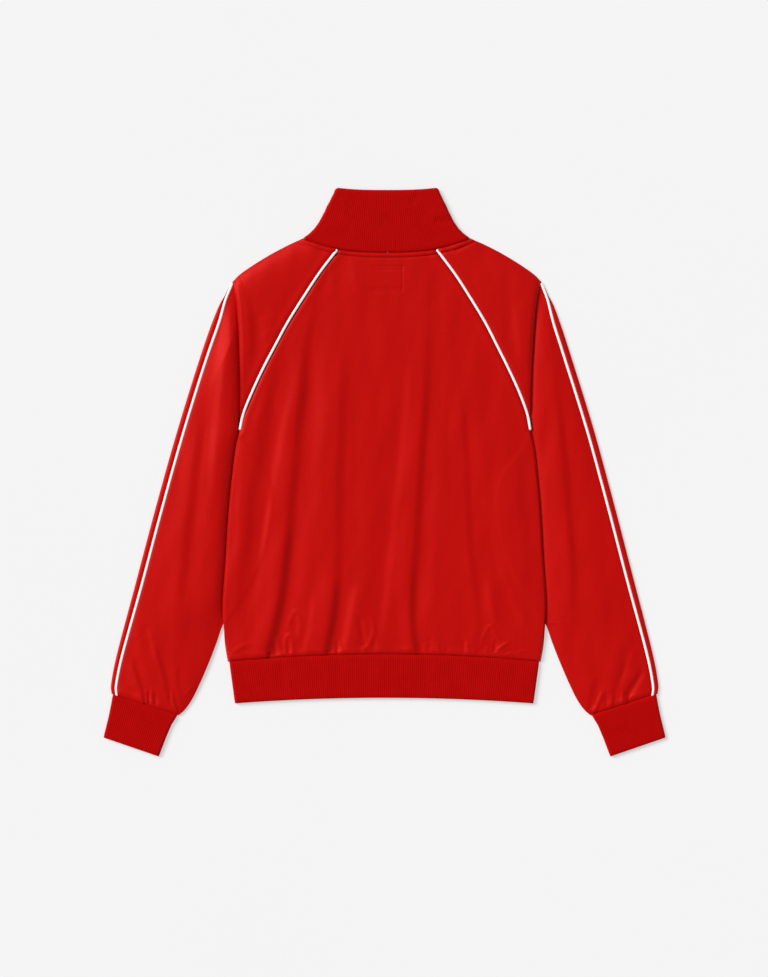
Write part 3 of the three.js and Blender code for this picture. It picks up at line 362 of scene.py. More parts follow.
# %% Crease tables: path, half width, height, start, stop
BACK_CREASES = [
    ([(-157, -236), (-153, -250), (-148, -264)], 4, 1.2, 0, 1),
    ([(-160, -243), (-157, -263)], 3, -1.0, 0, 1),
    ([(-143, -263), (-143, -244), (-138, -235), (-134, -246), (-133, -263)], 3.2, 1.2, 1, 1),
    ([(-138, -241), (-138, -260)], 3, -1.2, 0.5, 1),
    ([(-142, -238), (-137, -216), (-129, -201), (-122, -216), (-123, -240)], 4, 0.8, 0.2, 0.3),
    ([(-130, -212), (-129, -238)], 6, -0.6, 0, 0),
    ([(-74, -240), (-71, -252), (-73, -265)], 3.2, 1.1, 0.2, 1),
    ([(-70, -245), (-68, -264)], 3, -1.0, 0, 1),
    ([(-66, -242), (-62, -256), (-62, -266)], 4, 1.1, 0.1, 1),
    ([(-35, -204), (-33, -228), (-29, -249)], 6, -1.5, 0, 0.5),
    ([(-22, -205), (-15, -226), (-20, -246), (-30, -259)], 4.5, 1.0, 0, 0.6),
    ([(-14, -239), (-15, -259)], 3.2, -1.0, 0.1, 1),
    ([(-33, -250), (-26, -263)], 4, 0.9, 0, 1),
    ([(59, -245), (60, -263)], 4, 0.8, 0, 1),
    ([(67, -235), (66, -257)], 4, -0.8, 0, 0.6),
    ([(76, -245), (80, -263)], 4, 0.8, 0, 1),
    ([(92, -247), (91, -263)], 3.2, -0.6, 0, 1),
    ([(115, -240), (116, -263)], 3.5, -1.0, 0, 1),
    ([(121, -244), (121, -263)], 3.5, 0.9, 0, 1),
    ([(140, -254), (145, -236), (154, -223), (163, -236), (168, -248)], 4, 1.0, 0.5, 0.4),
    ([(154, -234), (155, -253)], 5, -0.6, 0, 0.3),
    ([(148, -252), (149, -265)], 4, 0.9, 0, 1),
    ([(161, -243), (161, -259)], 3.5, -1.6, 0, 1),
    ([(163, -260), (170, -253), (181, -246)], 4, 1.6, 0.5, 0.2),
    ([(172, -263), (184, -257)], 3.2, -0.8, 0.3, 0),
    ([(188, -264), (204, -259), (221, -265)], 4, 0.6, 0, 0.3),
    ([(-222, -263), (-205, -252), (-190, -247)], 6, 0.6, 0.3, 0),
]
SLEEVE_CREASES = [
    ([(-346, -313), (-344, -333)], 3, 1.0, 0.1, 1),
    ([(-341.5, -317), (-341, -334)], 2.6, -0.9, 0.1, 1),
    ([(-338, -313), (-337, -334)], 3, 1.0, 0.1, 1),
    ([(-332, -319), (-331, -336)], 3, -1.0, 0.1, 1),
    ([(-309, -315), (-306, -334), (-301, -346)], 4, 1.0, 0, 1),
    ([(-303, -326), (-298, -345)], 3, -0.8, 0, 1),
    ([(-291, -326), (-283, -316), (-275, -308)], 4, 0.5, 0, 0),
    ([(317, -315), (310, -333), (303, -347)], 5, 1.2, 0.1, 1),
    ([(322, -317), (321, -338)], 4, -0.8, 0, 1),
    ([(345, -316), (344, -333)], 3.5, 0.8, 0, 1),
    ([(330, -322), (329, -337)], 3.5, 0.8, 0, 1),
]
SHOULDER_CREASES = [
    ([(-112, 334), (-91, 321)], 4, -0.8, 0.2, 0.4),
    ([(116, 330), (92, 320)], 4, -1.1, 0.4, 0.2),
]
COLLAR_CREASES = [
    ([(64, 365), (84, 363)], 9, -1.4, 0.2, 0.6),
    ([(60, 376), (83, 375)], 9, 0.6, 0, 0.4),
    ([(-63, 402), (-57, 373)], 7, 0.5, 0, 0),
    ([(49, 407), (33, 386)], 9, -0.6, 0, 0),
    ([(-86, 363), (-95, 355)], 8, -0.7, 0, 0.4),
    ([(-49, 401), (-41, 386)], 9, -0.4, 0, 0),
    ([(-17, 363), (20, 357)], 14, -0.4, 0, 0),
]
HEM_CREASES = [
    ([(-150, -272), (-146, -330)], 14, -0.5, 0.4, 0), ([(-66, -272), (-70, -322)], 16, -0.5, 0.6, 0),
    ([(58, -272), (60, -326)], 14, -0.45, 0.6, 0), ([(132, -274), (136, -320)], 15, -0.5, 0.6, 0),
    ([(-10, -272), (-8, -320)], 20, 0.4, 0.3, 0), ([(190, -276), (186, -326)], 14, -0.4, 0.4, 0),
]


def beside_path(path, x, y, reach):
    """Places near a path: which they are, how far to its right, and their share of its length."""
    line = curve_through(path, 5)
    low, top = line.min(axis=0) - reach, line.max(axis=0) + reach
    near = (x > low[0]) & (x < top[0]) & (y > low[1]) & (y < top[1])
    places = np.stack([x[near], y[near]], axis=-1)
    best, share = np.full(len(places), np.inf), np.zeros(len(places))
    right = np.ones(len(places))
    run = length_along(line)
    for k, (a, d) in enumerate(zip(line, np.diff(line, axis=0))):
        part = np.clip(((places - a) @ d) / max(d @ d, 1e-12), 0, 1)
        away = places - a - part[:, None] * d
        off = np.linalg.norm(away, axis=1)
        closer = off < best
        share = np.where(closer, (run[k] + part * (run[k + 1] - run[k])) / run[-1], share)
        right = np.where(closer, np.where(d[0] * away[:, 1] - d[1] * away[:, 0] < 0, -1, 1), right)
        best = np.minimum(best, off)
    return near, best * right, share


def strength(share, start, stop):
    rise = start + (1 - start) * ease(share, 0, 0.3)
    return rise * (1 + (stop - 1) * ease(share, 0.7, 1))


def folds_at(table, x, y):
    height = np.zeros_like(x)
    for path, wide, fall, start, stop in table:
        near, aside, share = beside_path(path, x, y, wide * (1 + FOLD_COMES_BACK))
        across = aside / wide
        steep = np.clip(across, -1, 1)
        drop = -(1.5 * steep - 0.5 * steep**3) / 2
        back = 1 - ease(np.abs(across), 1, 1 + FOLD_COMES_BACK)
        height[near] += fall * drop * back * strength(share, start, stop)
    return height


def creases_at(table, x, y):
    height = np.zeros_like(x)
    for path, wide, high, start, stop in table:
        near, aside, share = beside_path(path, x, y, wide)
        profile = np.where(np.abs(aside) < wide, np.cos(np.pi * aside / (2 * wide)) ** 2, 0)
        height[near] += high * profile * strength(share, start, stop)
    return height


# %% [markdown]
# Heights of the layers
#
# The jacket lies in layers. The fronts and the sleeve fronts rest on the surface, the sleeves
# reach under the body, and the back lies over everything. These functions give the underside of
# each upper layer. Small waves, made of a few sine waves of fixed angles, keep the cloth from
# looking ironed.

# %% Heights of the layers
def front_lift(out, up):
    edge = np.where(up > UNDERARM[1], UNDERARM[0], out_at(SLEEVE_INNER, np.maximum(up, EXIT_UP)))
    over = ease(out - edge, -16, -1)
    above = 1 - ease(up, UNDERARM[1] + 2, UNDERARM[1] + 30)
    below = ease(up, EXIT_UP - 40, EXIT_UP - 14)
    return FRONT_OVER_SLEEVE * over * above * below


def back_underside(x, up):
    out = np.abs(x)
    side = np.where(up > UNDERARM[1], 400, out_at(BODY_SIDE, up))
    floor = front_lift(out, up) + LAYER_LOW + SEAM_GAP
    loose = LAYER_LOW + 0.1 + BODY_RISE * settle(side - out, 1.3)
    held = np.where(out < 21, np.maximum(loose, ZIP_CLEARANCE), loose)
    return (floor + held + np.hypot(floor - held, 0.6)) / 2


def valley_out(up):
    return np.where(up > UNDERARM[1], out_at(VALLEY_LINE, up), out_at(BODY_SIDE, up))


RIPPLES = [
    (7, 62, 0.16), (-11, 47, 0.13), (24, 88, 0.15), (-31, 71, 0.12), (3, 31, 0.06),
    (-19, 26, 0.05), (52, 120, 0.12), (-63, 96, 0.08),
]


def ripples(x, y):
    """Slight unevenness: waves that run mostly up and down, in degrees off, mm long and mm high."""
    height = np.zeros_like(x)
    for number, (turn, long, high) in enumerate(RIPPLES):
        angle = math.radians(turn)
        across = x * math.cos(angle) + y * math.sin(angle)
        drift = 9 * np.sin((y * math.cos(angle) - x * math.sin(angle)) / (37 + 9 * number) + number)
        height += high * np.sin(2 * np.pi * (across + drift) / long + 1.7 * number)
    return height


# %% [markdown]
# From grids to cloth
#
# Every panel is a grid of places with an upper and a lower skin, closed round the rim, so it is
# a real thin sheet and one closed mesh. Vertices are written in metres.

# %% Build a closed sheet from two grids
def shell(name, top, under, ring=False):
    rows, columns = top.shape[:2]
    points = in_frame(np.vstack([top.reshape(-1, 3), under.reshape(-1, 3)]))
    index = np.arange(rows * columns).reshape(rows, columns)
    if ring:
        index = np.hstack([index, index[:, :1]])
    low = index + rows * columns

    def quads(a, b, c, d):
        return np.stack([a, b, c, d], axis=-1).reshape(-1, 4)

    faces = [
        quads(index[:-1, :-1], index[:-1, 1:], index[1:, 1:], index[1:, :-1]),
        quads(low[:-1, :-1], low[1:, :-1], low[1:, 1:], low[:-1, 1:]),
        quads(index[0, 1:], index[0, :-1], low[0, :-1], low[0, 1:]),
        quads(index[-1, :-1], index[-1, 1:], low[-1, 1:], low[-1, :-1]),
    ]
    if not ring:
        faces.append(quads(index[:-1, 0], index[1:, 0], low[1:, 0], low[:-1, 0]))
        faces.append(quads(index[1:, -1], index[:-1, -1], low[:-1, -1], low[1:, -1]))
    faces = np.vstack(faces)
    a, b, c, d = (points[faces[:, k]] for k in range(4))
    volume = (np.cross(b, c) * a).sum() + (np.cross(c, d) * a).sum()
    if volume < 0:
        faces = faces[:, ::-1]
    return mesh_piece(name, points, faces)


def mesh_piece(name, points, faces, smooth=True):
    mesh = bpy.data.meshes.new(name)
    mesh.from_pydata(points.tolist(), [], [[int(k) for k in face] for face in faces])
    mesh.validate()
    mesh.update()
    if smooth:
        mesh.shade_smooth()
    piece = bpy.data.objects.new(name, mesh)
    bpy.context.scene.collection.objects.link(piece)
    return piece


def grid(x, y, z):
    return np.stack([x, y, z], axis=-1)


def wear(piece, node, material, body="jacket"):
    """The piece rides on its body, stands for its node and takes its material."""
    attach(piece, body)
    if node:
        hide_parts(node)
    piece.data.materials.append(material)
    return piece


# %% [markdown]
# Materials
#
# Tricot is a fine warp knit with a soft sheen: a Principled shader with some sheen, a broad
# highlight, and a bump of tiny wales. The colour varies by a few hundredths over the panel. All
# patterns use object coordinates, so they stay in place from every side.

# %% Material helpers
RED = (0.522, 0.0030, 0.0024, 1)
RED_DEEP = (0.484, 0.0026, 0.0022, 1)
RIB_RED = (0.447, 0.0013, 0.0012, 1)
RIB_RED_DEEP = (0.415, 0.0010, 0.0010, 1)
WHITE = (0.97, 0.96, 0.96, 1)
WHITE_DEEP = (0.93, 0.91, 0.91, 1)
DYED_GLOSS = (1, 0.10, 0.08, 1)


def new_material(name, roughness, sheen, sheen_roughness, specular, tint=(1, 1, 1, 1)):
    """A Principled finish. The tint colours its sheen and its gloss, as dyed yarn does."""
    material = bpy.data.materials.new(name)
    material.use_nodes = True
    shader = material.node_tree.nodes["Principled BSDF"]
    shader.inputs["Roughness"].default_value = roughness
    shader.inputs["Sheen Weight"].default_value = sheen
    shader.inputs["Sheen Roughness"].default_value = sheen_roughness
    shader.inputs["Sheen Tint"].default_value = tint
    shader.inputs["Specular IOR Level"].default_value = specular
    shader.inputs["Specular Tint"].default_value = tint
    return material, shader


def place_node(material, scale):
    """Object coordinates, scaled along each axis."""
    tree = material.node_tree
    source = tree.nodes.new("ShaderNodeTexCoord")
    mapping = tree.nodes.new("ShaderNodeMapping")
    mapping.inputs["Scale"].default_value = scale
    tree.links.new(source.outputs["Object"], mapping.inputs["Vector"])
    return mapping.outputs["Vector"]


def mottle(material, shader, light, deep, size, vector):
    """Slow change between two close shades of one dye."""
    tree = material.node_tree
    noise = tree.nodes.new("ShaderNodeTexNoise")
    noise.inputs["Scale"].default_value = size
    noise.inputs["Detail"].default_value = 4.0
    ramp = tree.nodes.new("ShaderNodeValToRGB")
    ramp.color_ramp.elements[0].position = 0.3
    ramp.color_ramp.elements[0].color = deep
    ramp.color_ramp.elements[1].position = 0.7
    ramp.color_ramp.elements[1].color = light
    tree.links.new(vector, noise.inputs["Vector"])
    tree.links.new(noise.outputs["Fac"], ramp.inputs["Fac"])
    tree.links.new(ramp.outputs["Color"], shader.inputs["Base Color"])
    return noise


def wales(material, shader, vector, scale, distance, direction="X"):
    """Fine knitted lines and yarn fuzz as bump."""
    tree = material.node_tree
    wave = tree.nodes.new("ShaderNodeTexWave")
    wave.bands_direction = direction
    wave.inputs["Scale"].default_value = scale
    wave.inputs["Distortion"].default_value = 1.2
    wave.inputs["Detail"].default_value = 2.0
    fuzz = tree.nodes.new("ShaderNodeTexNoise")
    fuzz.inputs["Scale"].default_value = scale * 4
    fuzz.inputs["Detail"].default_value = 3.0
    both = tree.nodes.new("ShaderNodeMath")
    both.operation = "ADD"
    bump = tree.nodes.new("ShaderNodeBump")
    bump.inputs["Strength"].default_value = 0.35
    bump.inputs["Distance"].default_value = distance
    tree.links.new(vector, wave.inputs["Vector"])
    tree.links.new(vector, fuzz.inputs["Vector"])
    tree.links.new(wave.outputs["Fac"], both.inputs[0])
    tree.links.new(fuzz.outputs["Fac"], both.inputs[1])
    tree.links.new(both.outputs["Value"], bump.inputs["Height"])
    tree.links.new(bump.outputs["Normal"], shader.inputs["Normal"])


# %% The five finishes
def yarn_material(name, finish, shades, patches, knit, tint=DYED_GLOSS, stretch=(1, 1, 1)):
    """Cloth of yarn: its finish, two close shades in patches, and how it is knitted or woven."""
    material, shader = new_material(name, *finish, tint)
    vector = place_node(material, (1, 1, 1))
    mottle(material, shader, *shades, patches, place_node(material, stretch))
    wales(material, shader, vector, *knit)
    return material


def metal_material():
    material, shader = new_material("zip_metal", 0.32, 0.0, 0.5, 0.5)
    shader.inputs["Metallic"].default_value = 1.0
    vector = place_node(material, (1, 30, 1))
    mottle(material, shader, (0.66, 0.67, 0.68, 1), (0.5, 0.51, 0.52, 1), 220.0, vector)
    return material


# Finish: roughness, sheen, its roughness, specular. Knit: scale, depth in metres, direction
TRICOT = yarn_material("tricot", (0.42, 0.15, 0.4, 0.6), (RED, RED_DEEP), 70.0,
                       (320.0, 0.00012, "X"), stretch=(1, 0.12, 1))
RIB_KNIT = yarn_material("rib_knit", (0.8, 0.1, 0.6, 0.3), (RIB_RED, RIB_RED_DEEP), 60.0,
                         (420.0, 0.0002, "Y"))
PIPING = yarn_material("piping", (0.4, 0.1, 0.3, 0.5), (WHITE, WHITE_DEEP), 90.0,
                       (500.0, 0.0001, "Y"), tint=(1, 1, 1, 1))
ZIP_TAPE = yarn_material("zip_tape", (0.8, 0.1, 0.5, 0.3), (RIB_RED, RIB_RED_DEEP), 120.0,
                         (600.0, 0.0003, "DIAGONAL"))
ZIP_METAL = metal_material()

# %% [markdown]
# Back panel
#
# One cut piece from the neck seam to the hem seam. Its rows follow the raglan seams and then the
# side edges. Next to every seam the cloth is pulled down into a narrow gutter, and below the
# collar it is doubled and topstitched, which stands up as a flat band 7 mm wide.

# %% Neck and hem lines
def neck_up(out):
    return NECK["middle"] + NECK["rise"] * (out / NECK["raglan_out"]) ** NECK["power"]


def front_neck_up(out):
    def curve(place):
        rise = SHOULDER_NECK[1] - FRONT_NECK["middle"]
        return FRONT_NECK["middle"] + rise * (place / SHOULDER_NECK[0]) ** FRONT_NECK["power"]

    seam = FRONT_NECK["raglan_out"]
    share = (out - seam) / (SHOULDER_NECK[0] - seam)
    chord = curve(seam) + share * (SHOULDER_NECK[1] - curve(seam))
    return np.where(out < seam, curve(np.minimum(out, seam)), chord)


def hem_seam_up(out):
    return HEM["seam_middle"] - HEM["seam_drop"] * (out / HEM["seam_half"]) ** 2


def hem_end_up(out):
    return HEM["end_middle"] - HEM["end_drop"] * (out / HEM["end_half"]) ** 2


NECK_LINE = np.array([(x, neck_up(abs(x))) for x in np.linspace(-118.2, 118.2, 80)])
HEM_LINE = np.array([(x, hem_seam_up(abs(x))) for x in np.linspace(-225, 225, 80)])
BAND_WIDE, BAND_HIGH = 6.8, 0.6
PUCKER_HIGH = 0.35
# Gutters beside the seams: how deep and how wide
RAGLAN_GUTTER, OVER_ARM_GUTTER = (1.6, 2.7), (1.2, 2.6)
HEM_GUTTER, CUFF_GUTTER = (2.6, 2.0), (2.2, 2.0)


def gutter(distance, deep, wide):
    return -deep * np.exp(-((distance / wide) ** 2))


def neck_band(x, y):
    """The doubled cloth below the collar: raised, with a groove at the seam and a soft edge."""
    away = distance_to(NECK_LINE, x, y)
    band = BAND_HIGH * (1 - ease(away, BAND_WIDE - 0.9, BAND_WIDE + 0.5))
    edge = gutter(away - BAND_WIDE - 0.7, 1.2, 1.3)
    puff = 0.5 * np.exp(-(((away - 3.4) / 1.8) ** 2))
    return band + edge + puff + gutter(away, 1.6, 1.4)


PATCH = {"left": -20.5, "right": 23.0, "top": 298.7, "foot": 263.2, "inset": 4.2}


def patch_rows():
    """Stitched lines of a patch that is sewn on inside: two across at each end, one down its right side."""
    left, right, top, foot = (PATCH[key] for key in ("left", "right", "top", "foot"))
    within, under_top, over_foot = left + 2, top - PATCH["inset"], foot + PATCH["inset"]
    return {
        "top": [(left, top), (right, top)], "under_top": [(within, under_top), (right, under_top)],
        "foot": [(left, foot), (right, foot)], "over_foot": [(within, over_foot), (right, over_foot)],
        "right": [(right, foot), (right, top)],
    }


def patch_dimples(x, y):
    height = np.zeros_like(x)
    for line in patch_rows().values():
        height += gutter(distance_to(np.array(line, float), x, y), 0.45, 1.2)
    return height


# %% Back panel
LOFT = 1.5


def soft_floor(height, floor):
    """Cloth that sinks toward what lies beneath it, and settles there."""
    above = height - floor
    return floor + (above + np.hypot(above, 1.0)) / 2


BACK_COLUMNS, RAGLAN_ROWS, SIDE_ROWS = 190, 118, 138
SIDE_ROLL, SIDE_DROP = 0.9, 4.6
CREASES_ON_BACK = 0.8


def back_rows():
    upper = np.linspace(0, 1, RAGLAN_ROWS, endpoint=False) ** 1.6
    lower = 1 - (1 - np.linspace(0, 1, SIDE_ROWS)) ** 1.5
    place, across = walk(RAGLAN, upper)
    place = place - across * SEAM_GAP / 2
    side, _ = walk(BODY_SIDE, lower)
    out = np.concatenate([place[:, 0], side[:, 0]])
    up = np.concatenate([place[:, 1], side[:, 1]])
    dip = np.concatenate([NECK["rise"] * (1 - upper) ** 2, -HEM["seam_drop"] * lower**3])
    power = np.concatenate([np.full(RAGLAN_ROWS, NECK["power"]), np.full(SIDE_ROWS, 2.0)])
    return out, up, dip, power


def make_back():
    out, up, dip, power = back_rows()
    across = 2 * spread(BACK_COLUMNS, (0, 1), 5, 0.012)[None, :] - 1
    x = across * out[:, None]
    y = up[:, None] - dip[:, None] * (1 - np.abs(across) ** power[:, None])
    seam = RAGLAN[::8]
    raglan_away = np.minimum(distance_to(seam, x, y), distance_to(seam * (-1, 1), x, y))
    hem_away = distance_to(HEM_LINE, x, y)
    side_away = distance_to(BODY_SIDE[::8], np.abs(x), y)
    calm = ease(raglan_away, 0, 25) * ease(hem_away, 0, 12)
    held = 0.35 + 0.65 * ease(hem_away, 0, 9)
    fine = ripples(x, y) * calm + folds_at(BACK_FOLDS, x, y) * ease(raglan_away, 0, 8) * held
    fine += CREASES_ON_BACK * creases_at(BACK_CREASES, x, y) * held
    fine += puckers(x, y, hem_away, 7.0, PUCKER_HIGH)
    fine += LOFT * settle(np.minimum(np.minimum(raglan_away, side_away), hem_away), 22)
    fine += SIDE_ROLL * settle(side_away, 2) - SIDE_DROP * np.exp(-((side_away / 1.0) ** 2))
    fine += 0.5 * np.exp(-(((raglan_away - 7) / 5) ** 2)) + gutter(raglan_away, *RAGLAN_GUTTER)
    fine += 0.35 * np.exp(-(((hem_away - 7) / 4) ** 2)) + gutter(hem_away, *HEM_GUTTER)
    fine += neck_band(x, y) + patch_dimples(x, y)
    floor = front_lift(np.abs(x), y) + FRONT_SKIN + SKIN + 0.1
    z = soft_floor(back_underside(x, y) + CLOTH + fine, floor)
    return shell("cloth_back", grid(x, y, z), grid(x, y, z - SKIN))


back = wear(make_back(), "back", TRICOT)
print("back panel faces:", len(back.data.polygons))

# %% [markdown]
# Sleeves
#
# Each raglan sleeve has two cut pieces. The back half shows from above: it runs from the neck
# over the shoulder, drops into a valley at the armhole fold, and hangs down to the cuff. The
# front half lies beneath and folds over the outer edge as far as the over-arm seam.

# %% Sleeve stations
YOKE_ROWS, FAN_ROWS, ARM_ROWS, SLEEVE_COLUMNS = 100, 66, 130, 84


def sleeve_stations(seam):
    yoke = spread(YOKE_ROWS, (0, 1), 5, 0.03)[:-1]
    fan = spread(FAN_ROWS, (0,), 5, 0.04)[:-1]
    arm = 1 - (1 - np.linspace(0, 1, ARM_ROWS)) ** 1.4
    inner_long = length_along(SLEEVE_INNER)[-1]
    outer_long = length_along(SLEEVE_OUTER)[-1]
    fan_inner = FAN_STEPS * FAN_STEP
    inner_at = np.concatenate([fan * fan_inner, fan_inner + arm * (inner_long - fan_inner)])
    outer_at = np.concatenate([fan * FAN_REACH, FAN_REACH + arm * (outer_long - FAN_REACH)])
    seam_place, seam_across = walk(seam, yoke)
    inner = np.vstack([seam_place + seam_across * SEAM_GAP / 2, walk(SLEEVE_INNER, inner_at / inner_long)[0]])
    slope_place, slope_across = walk(SHOULDER_SLOPE, yoke)
    arm_place, arm_across = walk(SLEEVE_OUTER, outer_at / outer_long)
    turn = ease(outer_at, outer_long - CUFF_TURN, outer_long)[:, None]
    arm_across = arm_across * (1 - turn) + CUFF_ACROSS * turn
    arm_across = arm_across / np.linalg.norm(arm_across, axis=1)[:, None]
    down = np.concatenate([np.zeros(YOKE_ROWS), outer_at])
    wrapped = 1 - (1 - np.clip(down / WRAP_START, 0, 1)) ** WRAP_POWER
    wrap = wrapped * (WRAP_FULL + (WRAP_CUFF - WRAP_FULL) * ease(down, outer_long - WRAP_ENDS, outer_long))
    neck = np.concatenate([(1 - yoke) ** 2, np.zeros(FAN_ROWS + ARM_ROWS)])
    return {
        "inner": inner, "outer": np.vstack([slope_place, arm_place]),
        "across": np.vstack([slope_across, arm_across]),
        "wrapped": wrapped, "wrap": wrap, "neck": neck, "down": down,
    }


HOOK_LIFT = 2.0
VALLEY_BOW = 26


def column_shares(inner, end):
    """Shares along each row, closer together at its ends and where it leaves the body's edge."""
    even = np.linspace(0, 1, 200)
    shares = []
    for start, stop in zip(inner, end):
        line = start + (stop - start) * even[:, None]
        past = line[:, 0] - valley_out(line[:, 1])
        crossed = np.flatnonzero((past[:-1] < 0) & (past[1:] >= 0) & (line[1:, 1] < UNDERARM[1]))
        peaks = (0, 1, even[crossed[0]]) if len(crossed) else (0, 1)
        shares.append(spread(SLEEVE_COLUMNS, peaks, 4, 0.035))
    return np.array(shares)


def toward_valley(out, up):
    """Moves the rows beside the shoulder's last row onto the bowed line of the valley."""
    share = np.clip((up - UNDERARM[1]) / (SHOULDER_POINT[1] - UNDERARM[1]), 0, 1)
    straight = UNDERARM[0] + share * (SHOULDER_POINT[0] - UNDERARM[0])
    bow = np.where(up > UNDERARM[1], out_at(VALLEY_LINE, up) - straight, 0)
    return out + bow * (1 - ease(np.abs(out - straight), 0, VALLEY_BOW))


# %% The valley between arm and body
# The left arm lies rolled toward the body, and the right arm lies flatter, beside a deeper foot
ARM_ROLL = {
    -1: {"high": 6.6, "start": 1.4, "reach": 12.0, "least": 0.7},
    1: {"high": 1.5, "start": 3.0, "reach": 7.0, "least": 0.7},
}
ROLL_FADES = (8, 130)
YOKE_EDGE = {-1: {"drop": -0.9, "reach": 4.0}, 1: {"drop": 2.6, "reach": 4.5}}
YOKE_WALL = (-0.5, 0.6)
# The roll gets lower where the arm is narrower than this, by this power
NARROW_ARM, NARROW_POWER = 66, 1.5
# How far the arm takes to rise from its outer edge and from its foot beside the body
OUTER_RISE, FOOT_RISE = 34, 24


def sleeve_height(side, out, up, from_inner, from_outer, outer_lift):
    """Outer face of the sleeve: the arm rises from a foot beside the body or the shoulder's edge."""
    past = out - valley_out(up)
    spread_out = settle(from_outer, 14)
    outer = outer_lift + (BODY_RISE - outer_lift) * settle(from_outer, OUTER_RISE)
    arm = outer * settle(past - 1, FOOT_RISE) * np.where(up < EXIT_UP, settle(from_inner, 10), 1)
    lies = ARM_ROLL[side]
    beside = lies["least"] + (1 - lies["least"]) * ease(up, -150, 60)
    beside = beside * ease(up, EXIT_UP - 20, EXIT_UP + 40) * ease(SHOULDER_POINT[1] - up, 0, 30)
    turned = np.clip((past - lies["start"]) / lies["reach"], 0, 1)
    roll = lies["high"] * np.sqrt(1 - (1 - turned) ** 2) * (1 - ease(past, *ROLL_FADES))
    wide = from_outer + np.maximum(past, 0)
    narrow = np.minimum((wide / NARROW_ARM) ** NARROW_POWER, 1)
    arm = arm + roll * beside * ease(from_outer, 0, 0.8 * wide) * narrow
    arm = arm + folds_at(SLEEVE_FOLDS, side * out, up) * ease(past, 6, 16) * spread_out
    edge = YOKE_EDGE[side]
    shoulder = (BODY_RISE + 0.9) * settle(from_outer, 10) + 2.6 * spread_out
    shoulder = shoulder - edge["drop"] * np.exp(-np.maximum(-past, 0) / edge["reach"]) * spread_out
    shoulder = shoulder + folds_at(SHOULDER_FOLDS, side * out, up) * spread_out * ease(-past, 0, 8)
    armpit = ease(np.hypot(out - UNDERARM[0], up - UNDERARM[1]), 6, 36)
    high = ease(-past, *YOKE_WALL) * np.where(up > UNDERARM[1], armpit, 0)
    return LAYER_LOW + 0.05 + CLOTH + np.maximum(arm + (shoulder - arm) * high, 0)


def make_sleeve_back(side, name):
    rows = sleeve_stations(RAGLAN)
    inset = rows["wrap"] + SEAM_GAP / 2 * rows["wrapped"]
    end = rows["outer"] - rows["across"] * inset[:, None]
    wide = np.linalg.norm(end - rows["inner"], axis=1)[:, None]
    share = column_shares(rows["inner"], end)
    out = rows["inner"][:, :1] + (end - rows["inner"])[:, :1] * share
    up = rows["inner"][:, 1:] + (end - rows["inner"])[:, 1:] * share
    neck_out = NECK["raglan_out"] + share * (SHOULDER_NECK[0] - NECK["raglan_out"])
    chord = neck_up(NECK["raglan_out"]) + share * (SHOULDER_NECK[1] - neck_up(NECK["raglan_out"]))
    up = up - rows["neck"][:, None] * (chord - neck_up(neck_out))
    out = toward_valley(out, up)
    x = side * out
    lift = HOOK_LIFT * rows["wrapped"][:, None]
    past = out - valley_out(up)
    seam_away = distance_to(RAGLAN[::8], out, up)
    cuff_away = distance_to(CUFF_LINE, out, up)
    over_arm = wide * (1 - share) + 60 * (1 - rows["wrapped"][:, None])
    upper = np.where(up > UNDERARM[1], 1.0, 0.0)
    arm_side = ease(past, 2, 14)
    shown = np.maximum(arm_side, upper * ease(-past, 0, 6))
    fine = ripples(x + 40 * side, up) * ease(seam_away, 0, 25) * ease(cuff_away, 0, 12) * shown
    fine = fine * ease(over_arm, 0, 15)
    fine += creases_at(SLEEVE_CREASES, x, up) * arm_side + creases_at(SHOULDER_CREASES, x, up) * upper
    edges = np.minimum(np.minimum(over_arm, cuff_away), np.where(past > 0, past, seam_away))
    fine += LOFT * settle(edges - 4, 26) * shown
    fine += gutter(seam_away, *RAGLAN_GUTTER) * ease(up, UNDERARM[1], UNDERARM[1] + 15)
    fine += 0.45 * np.exp(-(((seam_away - 7) / 5) ** 2)) * ease(up, UNDERARM[1], UNDERARM[1] + 40)
    fine += gutter(over_arm, *OVER_ARM_GUTTER) + gutter(cuff_away, *CUFF_GUTTER) + neck_band(x, up)
    fine += 0.6 * np.exp(-(((cuff_away - 7) / 4) ** 2))
    fine += puckers(out * 1.2, up, cuff_away, 6.0, PUCKER_HIGH)
    height = sleeve_height(side, out, up, wide * share, wide * (1 - share), lift)
    top = soft_floor(height + fine, LAYER_LOW + CLOTH * 0.8)
    return shell(f"cloth_sleeve_back_{name}", grid(x, up, top), grid(x, up, top - SKIN))


# Hook of the front half: inset from the edge and height, from the surface round to the seam
HOOK = curve_through([
    (7.0, 0.0), (4.5, 0.0), (2.2, 0.2), (0.6, 1.0), (0.0, 2.3), (0.7, 3.7), (2.4, 4.7),
    (4.8, 5.0), (7.2, 4.7), (8.9, 4.0), (9.6, 3.6),
], 3)
HOOK_FLAT = np.linspace(9.0, 0.0, len(HOOK))


